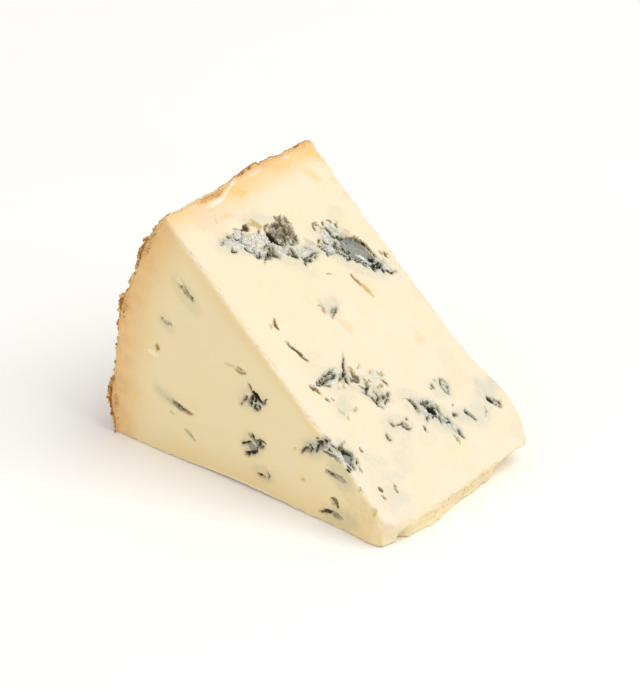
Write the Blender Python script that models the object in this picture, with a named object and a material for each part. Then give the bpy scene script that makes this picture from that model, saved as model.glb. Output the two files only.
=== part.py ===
"""A wedge of blue cheese, cut from a tall drum and lying on one of its two radial cuts.

The wedge is one solid. It starts as a box of quads, whose three directions are then bent
onto the drum:

    along   from the rind to the blunt tip near the drum's axis
    turn    round the drum's axis, from the lower cut up to the upper cut
    across  along the drum's axis, from the near side to the far side

X points from the rind to the tip, Y along the drum's axis and Z up. The origin is on the
surface that the wedge lies on, under the middle of its outline.
"""

import math
from collections import namedtuple

import bmesh
import bpy
from mathutils import Vector, noise

# Driving dimensions, in metres and degrees.
LOWER_CUT = 0.0960
UPPER_CUT = 0.1002
CUT_ANGLE = 41.4
WIDTH = 0.0583
RIND_BULGE = 0.0068
TIP_NEAR = 0.0052
TIP_FAR = 0.0066

# Worn edges and uneven surfaces, in metres.
EDGE_RADIUS = 0.0007
CORNER_RADIUS = 0.0016
TIP_CORNER_RADIUS = 0.0028
RIND_ROUGHNESS = 0.0007
TIP_CRUMBLE = 0.0009
CUT_WAVE = 0.0003
NEAR_EDGE_LIFT = 0.0007
NEAR_EDGE_SET_BACK = 0.0008
FAR_TIP_SWELL = 0.0026
NEAR_TIP_SWELL = 0.0008

# Quads along each direction of the box.
QUADS_ALONG = 36
QUADS_TURN = 20
QUADS_ACROSS = 22

# A lump of the rind: its middle as shares of the way up and across, its spread and its height.
Lump = namedtuple("Lump", "turn across spread height")

RIND_LUMPS = (
    Lump(0.22, 0.00, 0.0070, 0.0013),
    Lump(0.56, 0.02, 0.0075, 0.0010),
    Lump(0.93, 0.00, 0.0040, 0.0008),
    Lump(0.98, 0.62, 0.0120, 0.0017),
    Lump(0.99, 0.92, 0.0060, 0.0009),
    Lump(0.76, 0.34, 0.0085, 0.0010),
    Lump(0.38, 0.48, 0.0090, 0.0011),
    Lump(0.14, 0.72, 0.0080, 0.0012),
    Lump(0.62, 0.82, 0.0095, 0.0010),
)

# A hollow left where the blue veins open at a cut. Places and sizes are in metres on the
# cut: from_rind and sideways give its middle, heading turns its long axis away from across.
Hollow = namedtuple("Hollow", "from_rind sideways half_long half_short depth heading")

# On the upper cut, sideways is measured from the near side.
UPPER_HOLLOWS = (
    Hollow(0.016, 0.018, 0.0070, 0.0040, 0.0013, 10),
    Hollow(0.019, 0.028, 0.0060, 0.0042, 0.0015, 0),
    Hollow(0.032, 0.048, 0.0070, 0.0040, 0.0012, 35),
    Hollow(0.057, 0.012, 0.0045, 0.0026, 0.0010, 30),
    Hollow(0.059, 0.020, 0.0040, 0.0028, 0.0010, 60),
    Hollow(0.078, 0.036, 0.0042, 0.0030, 0.0011, 40),
    Hollow(0.075, 0.044, 0.0030, 0.0022, 0.0009, 70),
    Hollow(0.079, 0.002, 0.0045, 0.0026, 0.0010, 60),
)

# On the near side, sideways is the height above the lower cut.
NEAR_HOLLOWS = (
    Hollow(0.049, 0.028, 0.0040, 0.0030, 0.0010, 30),
    Hollow(0.049, 0.014, 0.0040, 0.0028, 0.0010, 20),
    Hollow(0.022, 0.017, 0.0050, 0.0022, 0.0008, 65),
    Hollow(0.027, 0.051, 0.0042, 0.0020, 0.0008, 40),
)


def swell(value, middle, spread):
    """A smooth rise to 1 at the middle, gone two spreads away."""
    return math.exp(-(((value - middle) / spread) ** 2))


def ramp(value, start, end):
    """0 before the start, 1 after the end, and smooth between them."""
    share = min(max((value - start) / (end - start), 0.0), 1.0)
    return share * share * (3.0 - 2.0 * share)


def tip_thickness(across):
    """Thickness of the blunt tip, which the cuts leave because they miss the drum's axis."""
    return TIP_NEAR + (TIP_FAR - TIP_NEAR) * across


def tip_undercut(across):
    """How far the lower end of the tip is set back under its upper edge."""
    chipped_near = 0.0020 * swell(across, 0.06, 0.10)
    hollow_middle = 0.0014 * ramp(across, 0.32, 0.50)
    worn_far = 0.0028 * ramp(across, 0.60, 1.0)
    return 0.0006 + chipped_near + hollow_middle + worn_far


def cut_ends(along, across):
    """Where the lower and the upper cut lie at this share of the way to the tip."""
    slope = math.radians(CUT_ANGLE)
    thickness = tip_thickness(across)
    rind_foot = Vector((-LOWER_CUT, 0.0))
    rind_head = Vector((-UPPER_CUT * math.cos(slope), UPPER_CUT * math.sin(slope) + TIP_NEAR))
    tip_foot = Vector((-tip_undercut(across), 0.0))
    tip_head = Vector((0.0, thickness))
    return rind_foot.lerp(tip_foot, along), rind_head.lerp(tip_head, along)


def half_sweep():
    """Half the angle of the rind's arc, from its bulge and the chord between the cuts."""
    foot, head = cut_ends(0.0, 0.0)
    return 2.0 * math.atan(2.0 * RIND_BULGE / (head - foot).length)


def bend(along, turn, across):
    """Place a point of the box, given as shares of its sides, on the drum."""
    foot, head = cut_ends(along, across)
    chord = head - foot
    sideways = Vector((-chord.y, chord.x))
    sweep = half_sweep()
    angle = (2.0 * turn - 1.0) * sweep
    reach = 0.5 + 0.5 * math.sin(angle) / math.sin(sweep)
    bulge = 0.5 * (math.cos(angle) - math.cos(sweep)) / math.sin(sweep)
    flat = foot + chord * reach + sideways * bulge
    return Vector((flat.x, across * WIDTH, flat.y))


def wear(along, turn, across):
    """Edge radius here: wider at the near rind corner and at both upper corners of the tip."""
    rind_corner = (1.0 - ramp(along, 0.0, 0.06)) * ramp(turn, 0.90, 1.0) * (1.0 - ramp(across, 0.0, 0.1))
    near_corner = ramp(along, 0.94, 1.0) * (1.0 - ramp(across, 0.02, 0.09)) * ramp(turn, 0.2, 0.8)
    far_corner = ramp(along, 0.94, 1.0) * ramp(across, 0.93, 1.0) * ramp(turn, 0.2, 0.8)
    worn_rind = EDGE_RADIUS + (CORNER_RADIUS - EDGE_RADIUS) * rind_corner
    worn_tip = EDGE_RADIUS + (TIP_CORNER_RADIUS - EDGE_RADIUS) * max(near_corner, far_corner)
    return max(worn_rind, worn_tip)


def rounded(point, size, radius):
    """Round the box's edges, and give the outward direction there.

    The point is pulled to the nearest place a radius inside the box, then pushed out from
    it by that radius. A side thinner than two radii gets a smaller one.
    """
    reach = Vector(min(radius, side / 2.0) for side in size)
    inner = Vector(min(max(p, r), side - r) for p, r, side in zip(point, reach, size))
    outward = Vector((p - i) / r for p, i, r in zip(point, inner, reach)).normalized()
    return inner + Vector(n * r for n, r in zip(outward, reach)), outward


def hollow_depth(hollows, from_rind, sideways):
    """Depth of the deepest hollow at a place on a cut."""
    depth = 0.0
    for hollow in hollows:
        heading = math.radians(hollow.heading)
        offset = Vector((from_rind - hollow.from_rind, sideways - hollow.sideways))
        long_way = offset.x * math.sin(heading) + offset.y * math.cos(heading)
        short_way = offset.x * math.cos(heading) - offset.y * math.sin(heading)
        distance = math.hypot(long_way / hollow.half_long, short_way / hollow.half_short)
        depth = max(depth, hollow.depth * (1.0 - ramp(distance, 0.3, 1.3)))
    return depth


def lump_height(place, lumps):
    """Height of the rind's lumps at a place on it."""
    height = 0.0
    for lump in lumps:
        middle = bend(0.0, lump.turn, lump.across)
        height += lump.height * swell((place - middle).length, 0.0, lump.spread)
    return height


def relief(place, outward, shares):
    """How far the surface stands out from the plain rounded form."""
    along, turn, across = shares
    on_rind = max(-outward.x, 0.0) ** 2
    on_tip = max(outward.x, 0.0) ** 2
    on_upper = max(outward.y, 0.0) ** 2
    on_near = max(-outward.z, 0.0) ** 2
    on_far = max(outward.z, 0.0) ** 2
    rough = 0.2 + 0.6 * noise.noise(place / 0.008) + 0.6 * noise.noise(place / 0.0042)
    crumble = noise.noise(place / 0.006) + 0.5 * noise.noise(place / 0.003)
    wave = noise.noise(place / 0.022)
    height = on_rind * (RIND_ROUGHNESS * rough + lump_height(place, RIND_LUMPS))
    height += on_tip * TIP_CRUMBLE * crumble
    height += (on_upper + on_near + on_far) * CUT_WAVE * wave
    height += on_far * FAR_TIP_SWELL * swell(along, 0.86, 0.11) * ramp(turn, 0.0, 0.8)
    height += on_near * NEAR_TIP_SWELL * swell(along, 0.95, 0.07)
    height -= on_near * NEAR_EDGE_SET_BACK * swell(along, 0.47, 0.19) * (1.0 - turn) ** 2
    height -= on_upper * hollow_depth(UPPER_HOLLOWS, along * UPPER_CUT, place.y)
    height -= on_near * hollow_depth(NEAR_HOLLOWS, place.x + LOWER_CUT, place.z)
    return height


def wedge_point(along, turn, across):
    """Final place of a point of the box: edges rounded, surface uneven, bent onto the drum."""
    foot, head = cut_ends(along, across)
    size = Vector((LOWER_CUT, (head - foot).length, WIDTH))
    point = Vector((along * size.x, turn * size.y, across * size.z))
    point, outward = rounded(point, size, wear(along, turn, across))
    shares = (point.x / size.x, point.y / size.y, point.z / size.z)
    point += outward * relief(bend(*shares), outward, shares)
    point.y = max(point.y, 0.0)
    placed = bend(point.x / size.x, point.y / size.y, point.z / size.z)
    near_foot = swell(along, 0.47, 0.19) * (1.0 - ramp(across, 0.0, 0.2)) * (1.0 - ramp(turn, 0.0, 0.1))
    placed.z += NEAR_EDGE_LIFT * near_foot
    return placed


def stations(quads, length):
    """Shares of a side at which its quads meet, with a close row at each end for the edge."""
    rim = EDGE_RADIUS / length
    steps = quads - 4
    inside = [rim + (1.0 - 2.0 * rim) * step / steps for step in range(steps + 1)]
    return [0.0, 0.4 * rim, *inside, 1.0 - 0.4 * rim, 1.0]


def quad_box():
    """A closed box one unit across, cut into quads."""
    mesh = bmesh.new()
    bmesh.ops.create_cube(mesh, size=1.0)
    bmesh.ops.translate(mesh, verts=mesh.verts, vec=(0.5, 0.5, 0.5))
    for axis, quads in enumerate((QUADS_ALONG, QUADS_TURN, QUADS_ACROSS)):
        edges = [edge for edge in mesh.edges if abs((edge.verts[1].co - edge.verts[0].co)[axis]) > 0.5]
        bmesh.ops.subdivide_edges(mesh, edges=edges, cuts=quads - 1, use_grid_fill=True)
    return mesh


def centre_on_origin(mesh):
    """Move the wedge so that the origin is under the middle of its outline."""
    along = [vert.co.x for vert in mesh.verts]
    across = [vert.co.y for vert in mesh.verts]
    lowest = min(vert.co.z for vert in mesh.verts)
    middle = Vector(((min(along) + max(along)) / 2.0, (min(across) + max(across)) / 2.0, lowest))
    bmesh.ops.translate(mesh, verts=mesh.verts, vec=-middle)


def paste_material():
    """The pale cream paste, which the thin rind shares in this plain model."""
    material = bpy.data.materials.new("paste")
    material.use_nodes = True
    shader = material.node_tree.nodes["Principled BSDF"]
    shader.inputs["Base Color"].default_value = (0.86, 0.72, 0.46, 1.0)
    shader.inputs["Roughness"].default_value = 0.55
    shader.inputs["Metallic"].default_value = 0.0
    return material


def cheese_wedge():
    """The whole wedge as one closed solid."""
    mesh = quad_box()
    rows = (
        stations(QUADS_ALONG, LOWER_CUT),
        stations(QUADS_TURN, (cut_ends(0.5, 0.0)[1] - cut_ends(0.5, 0.0)[0]).length),
        stations(QUADS_ACROSS, WIDTH),
    )
    counts = (QUADS_ALONG, QUADS_TURN, QUADS_ACROSS)
    for vert in mesh.verts:
        shares = (row[round(place * count)] for row, place, count in zip(rows, vert.co, counts))
        vert.co = wedge_point(*shares)
    centre_on_origin(mesh)
    bmesh.ops.recalc_face_normals(mesh, faces=mesh.faces)
    data = bpy.data.meshes.new("cheese_wedge")
    mesh.to_mesh(data)
    mesh.free()
    data.materials.append(paste_material())
    data.shade_smooth()
    wedge = bpy.data.objects.new("cheese_wedge", data)
    bpy.context.scene.collection.objects.link(wedge)
    return wedge


def main():
    """Clear the scene and model the wedge."""
    for leftover in list(bpy.data.objects):
        bpy.data.objects.remove(leftover, do_unlink=True)
    cheese_wedge()


main()
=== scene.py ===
"""The looks of a blue cheese wedge: its paste with blue veins, its rind, crumbs and a plain studio.

The wedge is worked out in millimetres, with x from the foot of the rind (at -96) to the blunt tip
(at 0), y from the near side to the far side and z up from the lower cut. The last step moves it
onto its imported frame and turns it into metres.
"""

import itertools
import logging
import math
from collections.abc import Callable, Sequence
from dataclasses import dataclass
from enum import Enum

import bpy
import numpy as np
from mathutils import Matrix, Vector


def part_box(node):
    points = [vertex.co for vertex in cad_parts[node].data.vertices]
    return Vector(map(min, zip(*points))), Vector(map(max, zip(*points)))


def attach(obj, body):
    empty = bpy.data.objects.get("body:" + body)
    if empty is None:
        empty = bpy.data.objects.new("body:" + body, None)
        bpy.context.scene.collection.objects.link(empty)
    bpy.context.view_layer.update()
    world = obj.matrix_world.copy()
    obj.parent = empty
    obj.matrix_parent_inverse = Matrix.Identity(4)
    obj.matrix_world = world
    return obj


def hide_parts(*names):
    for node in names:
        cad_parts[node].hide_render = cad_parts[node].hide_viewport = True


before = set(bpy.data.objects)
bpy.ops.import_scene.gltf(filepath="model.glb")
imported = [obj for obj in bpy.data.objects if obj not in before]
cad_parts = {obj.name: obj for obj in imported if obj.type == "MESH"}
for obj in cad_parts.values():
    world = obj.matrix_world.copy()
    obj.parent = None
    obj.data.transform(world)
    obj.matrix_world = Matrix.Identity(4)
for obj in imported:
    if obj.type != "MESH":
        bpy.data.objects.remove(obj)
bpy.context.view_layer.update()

NODE = "cheese_wedge"
BODY = "root"
MM = 0.001
SHAPE_SEED = 7
VEIN_SEED = 3
HIDDEN_SEED = 5

Array = np.ndarray
Colour = tuple[float, float, float, float]
Field = dict["Growth", Array]

log = logging.getLogger("cheese")


# ---- Small formulas ----


def ramp(value: Array, start: float, end: float) -> Array:
    """0 before the start, 1 after the end, and 3t^2 - 2t^3 between them."""
    share = np.clip((value - start) / (end - start), 0, 1)
    return share * share * (3 - 2 * share)


def fall(value: Array, start: float, end: float) -> Array:
    """1 before the start, 0 after the end, and smooth between them."""
    return 1 - ramp(value, start, end)


def swell(value: Array, middle: float, spread: float) -> Array:
    """A bell that is 1 at the middle: e^-((value - middle) / spread)^2."""
    return np.exp(-(((value - middle) / spread) ** 2))


def srgb(red: float, green: float, blue: float) -> Colour:
    """Linear colour of a display colour given from 0 to 255.

    Args:
        red: Display red.
        green: Display green.
        blue: Display blue.

    Returns:
        Linear red, green and blue, and an alpha of 1.
    """
    shares = np.array([red, green, blue]) / 255
    linear = np.where(shares <= 0.04045, shares / 12.92, ((shares + 0.055) / 1.055) ** 2.4)
    return (*(float(part) for part in linear), 1)


class Noise3:
    """Seeded gradient noise in space, worked out for whole arrays of points."""

    def __init__(self, seed: int) -> None:
        """Draw the slopes of the noise.

        Args:
            seed: Number that fixes the noise.
        """
        rng = np.random.default_rng(seed)
        slopes = rng.normal(size=(256, 3))
        self.slopes = slopes / np.linalg.norm(slopes, axis=1, keepdims=True)
        self.order = rng.permutation(256)

    def at(self, points: Array, size: float, shift: float = 0.0) -> Array:
        """Noise from about -1 to 1.

        Each corner of the unit cell round a point gives the product of its slope and the way from
        it to the point. The eight are blended by 6t^5 - 15t^4 + 10t^3 along each axis.

        Args:
            points: Places, (n, 3).
            size: Width of one cell of the noise.
            shift: Distance that picks another part of the noise.

        Returns:
            Noise at each place, (n,).
        """
        scaled = points / size + shift
        cell = np.floor(scaled).astype(np.int64)
        part = scaled - cell
        fade = part**3 * (part * (part * 6 - 15) + 10)
        total = np.zeros(len(points))
        for corner in itertools.product((0, 1), repeat=3):
            key = self.order[(cell[:, 0] + corner[0]) & 255]
            key = self.order[(key + cell[:, 1] + corner[1]) & 255]
            key = self.order[(key + cell[:, 2] + corner[2]) & 255]
            weight = np.where(np.array(corner) == 1, fade, 1 - fade).prod(axis=1)
            total += weight * (self.slopes[key] * (part - corner)).sum(axis=1)
        return total * 1.5

    def layers(self, points: Array, size: float, count: int, gain: float = 0.5) -> Array:
        """Sum of noises, each with half the size of the last and gain times its height.

        Args:
            points: Places, (n, 3).
            size: Width of the widest noise's cells.
            count: How many noises are added.
            gain: Height of each noise next to the last.

        Returns:
            The summed noise, (n,).
        """
        return sum(gain**i * self.at(points, size / 2**i, 7.3 * i) for i in range(count))

    def drift(self, points: Array, size: float) -> Array:
        """Three noises side by side, (n, 3), to push points about."""
        return np.stack([self.at(points, size, 31.7 * (axis + 1)) for axis in range(3)], axis=1)


# ---- The wedge's form ----


class Side(Enum):
    """A side of the box that is bent into the wedge.

    Each holds its fixed axis and end, then the two axes whose turn faces outwards. The axes are
    0 along, 1 turn and 2 across.
    """

    RIND = (0, 0, 1, 2)
    TIP = (0, 1, 2, 1)
    LOWER = (1, 0, 2, 0)
    UPPER = (1, 1, 0, 2)
    NEAR = (2, 0, 0, 1)
    FAR = (2, 1, 1, 0)


@dataclass(frozen=True)
class WedgeForm:
    """The part of a drum that the wedge is cut to, in millimetres and degrees."""

    lower_cut: float = 96.0
    upper_cut: float = 100.2
    cut_angle: float = 41.4
    width: float = 58.3
    rind_bulge: float = 6.8
    tip_near: float = 5.2
    tip_far: float = 6.6
    rind_overhang: float = 1.53
    near_swell: float = 0.73

    def tip_undercut(self, across: Array) -> Array:
        """How far the lower end of the tip is set back under its upper edge.

        Args:
            across: Shares of the way from the near side to the far side, (n,).

        Returns:
            Lengths in millimetres, (n,).
        """
        chipped_near = 2 * swell(across, 0.06, 0.10)
        hollow_middle = 1.4 * ramp(across, 0.32, 0.50)
        return 0.6 + chipped_near + hollow_middle + 2.8 * ramp(across, 0.60, 1)

    def cut_ends(self, along: Array, across: Array) -> tuple[Array, Array]:
        """Where the two cuts lie: straight lines from the rind to the blunt tip.

        Args:
            along: Shares of the way from the rind to the tip.
            across: Shares of the way from the near side to the far side.

        Returns:
            Places on the lower and the upper cut, each (n, 2) as x and z.
        """
        slope = math.radians(self.cut_angle)
        thickness = self.tip_near + (self.tip_far - self.tip_near) * across
        flat = np.zeros_like(thickness)
        rind_foot = np.array([-self.lower_cut, 0])
        rind_head = self.upper_cut * np.array([-math.cos(slope), math.sin(slope)]) + [0, self.tip_near]
        tip_foot = np.stack([-self.tip_undercut(across), flat], axis=1)
        tip_head = np.stack([flat, thickness], axis=1)
        share = along[:, None]
        return rind_foot * (1 - share) + tip_foot * share, rind_head * (1 - share) + tip_head * share

    def bend(self, shares: Array) -> Array:
        """Bend the box onto the drum.

        A point lies on the arc through both cuts: it goes (1 + sin a / sin s) / 2 of the way up
        the chord and stands (cos a - cos s) / (2 sin s) of the chord out from it, where s is half
        the arc's sweep and a runs from -s to s.

        Args:
            shares: Shares along, round and across, (n, 3).

        Returns:
            Places in millimetres, (n, 3).
        """
        along, turn, across = shares.T
        foot, head = self.cut_ends(along, across)
        chord = head - foot
        end = np.zeros(1)
        rind_foot, rind_head = self.cut_ends(end, end)
        sweep = 2 * math.atan(2 * self.rind_bulge / np.linalg.norm(rind_head - rind_foot))
        angle = (2 * turn - 1) * sweep
        reach = 0.5 + 0.5 * np.sin(angle) / math.sin(sweep)
        bulge = 0.5 * (np.cos(angle) - math.cos(sweep)) / math.sin(sweep)
        flat = foot + chord * reach[:, None] + chord[:, ::-1] * [-1, 1] * bulge[:, None]
        return np.stack([flat[:, 0], across * self.width, flat[:, 1]], axis=1)

    def box_size(self, shares: Array, length: Array) -> Array:
        """Sides of the box at each place: the length given, the chord between the cuts, the width.

        Args:
            shares: Shares along, round and across, (n, 3).
            length: Length of the box there, (n,).

        Returns:
            Sides in millimetres, (n, 3).
        """
        foot, head = self.cut_ends(shares[:, 0], shares[:, 2])
        chord = np.linalg.norm(head - foot, axis=1)
        return np.stack([length, chord, np.full(len(shares), self.width)], axis=1)

    def bend_box(self, point: Array, size: Array, start: float = 0.0) -> Array:
        """Carry places in a box of millimetres onto the drum.

        Args:
            point: Places in the box, (n, 3).
            size: The box's sides there, (n, 3).
            start: How far the box starts from the rind's face.

        Returns:
            Places in millimetres, (n, 3).
        """
        shares = point / size
        shares[:, 0] = (point[:, 0] + start) / self.lower_cut
        return self.bend(shares)

    def on_side(self, side: Side, path: Sequence[tuple[float, float]]) -> Array:
        """Places of a path drawn on one side.

        Args:
            side: The side that it is drawn on.
            path: Pairs in millimetres: from the rind and from the near side on a cut, from the
                foot of the rind and up on the near and far sides, across and up at the tip.

        Returns:
            Places in millimetres, (n, 3).
        """
        first, second = np.array(path, dtype=float).T
        flat = np.zeros_like(first)
        if side is Side.UPPER:
            return self.bend(np.stack([first / self.upper_cut, flat + 1, second / self.width], axis=1))
        if side is Side.LOWER:
            return np.stack([first - self.lower_cut, second, flat], axis=1)
        if side is Side.TIP:
            return np.stack([flat, first, second], axis=1)
        depth = flat if side is Side.NEAR else flat + self.width
        return np.stack([first - self.lower_cut, depth, second], axis=1)

    def in_frame(self, places: Array) -> Array:
        """Move places into the frame, from the CAD node's box.

        Args:
            places: Places in millimetres, (n, 3).

        Returns:
            Places in metres, (n, 3).
        """
        low = np.array(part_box(NODE)[0])
        shift = [self.rind_overhang + self.lower_cut, self.near_swell, 0]
        return low + (places + shift) * MM


FORM = WedgeForm()


# ---- Veins ----


class Growth(Enum):
    """A kind of mark that the blue mould leaves, named as its attribute on the mesh."""

    HALO = "halo"
    BLUSH = "blush"
    PEACH = "peach"
    OCHRE = "ochre"
    OLIVE = "olive"
    BLOOM = "bloom"
    TAUPE = "taupe"
    GREY = "grey"
    LENS = "lens"
    FLUFF = "fluff"
    BROWN = "brown"
    GOLD = "gold"
    CREAM = "cream"
    # Near-black marks in the crevices and holes: partly dark mould, partly painted shade inside the hollows.
    DARK = "dark"


@dataclass(frozen=True)
class Stain:
    """How one kind of mark looks. Lengths are in millimetres.

    wider is added to the width of each stroke, soft is how far its edge fades, ragged how far fine
    noise moves the edge, web how much painted shade darkens its creases, depth how far it is sunk
    into the paste and lumps how high its own bumps are.
    """

    growth: Growth
    colour: Colour
    speck: Colour
    wider: float
    soft: float
    ragged: float
    cover: float
    web: float
    depth: float
    lumps: float


STAINS = (
    Stain(Growth.HALO, srgb(198, 205, 186), srgb(208, 212, 194), 1.2, 2.2, 0.5, 0.85, 0, 0.03, 0),
    Stain(Growth.BLUSH, srgb(222, 198, 166), srgb(230, 208, 178), 0, 2.4, 0.5, 0.85, 0, 0, 0),
    Stain(Growth.PEACH, srgb(241, 194, 112), srgb(246, 206, 140), 0, 1.5, 0.4, 0.85, 0, 0, 0),
    Stain(Growth.OCHRE, srgb(214, 190, 116), srgb(178, 150, 82), 0, 0.5, 0.3, 0.9, 0.1, 0.12, 0.05),
    Stain(Growth.OLIVE, srgb(158, 146, 88), srgb(196, 184, 134), 0.15, 0.35, 0.28, 0.9, 0.2, 0.12, 0.08),
    Stain(Growth.BLOOM, srgb(228, 224, 208), srgb(206, 202, 182), 0, 0.7, 0.45, 0.94, 0.4, 0.12, 0.12),
    Stain(Growth.TAUPE, srgb(196, 187, 166), srgb(140, 128, 106), 0.2, 0.35, 0.3, 0.96, 0.6, 0.35, 0.25),
    Stain(Growth.GREY, srgb(184, 181, 156), srgb(144, 141, 114), 0.1, 0.4, 0.35, 0.93, 0.7, 0.35, 0.28),
    Stain(Growth.LENS, srgb(163, 163, 156), srgb(142, 143, 135), 0.9, 0.25, 0.08, 1, 0, 0.8, 0.03),
    Stain(Growth.FLUFF, srgb(244, 242, 232), srgb(224, 221, 208), 0.25, 0.35, 0.3, 0.97, 0.38, 0.16, 0.26),
    Stain(Growth.BROWN, srgb(116, 98, 56), srgb(82, 66, 38), 0.15, 0.25, 0.22, 0.95, 0.4, 0.45, 0.15),
    Stain(Growth.GOLD, srgb(206, 168, 46), srgb(176, 140, 30), 0.1, 0.25, 0.1, 0.95, 0, 0.4, 0.05),
    Stain(Growth.CREAM, srgb(255, 240, 208), srgb(252, 232, 192), 0, 0.3, 0.2, 0.95, 0, 0, 0.1),
    # The dark marks' near-black colour is partly dark mould and partly painted shade in their sunk hollows.
    Stain(Growth.DARK, srgb(26, 25, 16), srgb(70, 67, 46), 0.14, 0.18, 0.2, 0.98, 0.3, 0.7, 0.2),
)

SOFT_GROWTHS = (Growth.HALO, Growth.BLUSH, Growth.PEACH)


@dataclass(frozen=True)
class Vein:
    """A stroke or, with one point, a spot of mould on a side, in millimetres.

    strength is how much of the mark's full cover it reaches.
    """

    side: Side
    growth: Growth
    strength: float
    width: float
    path: tuple[tuple[float, float], ...]


def veins(side: Side, *rows: tuple) -> list[Vein]:
    """Veins on one side.

    Args:
        side: The side that they are drawn on.
        rows: For each kind of mark its growth, how much of the full cover it reaches, and its
            strokes: for each stroke its width, then the points of its path.

    Returns:
        The veins.
    """
    return [Vein(side, growth, strength, width, path)
            for growth, strength, *strokes in rows for width, *path in strokes]


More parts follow.
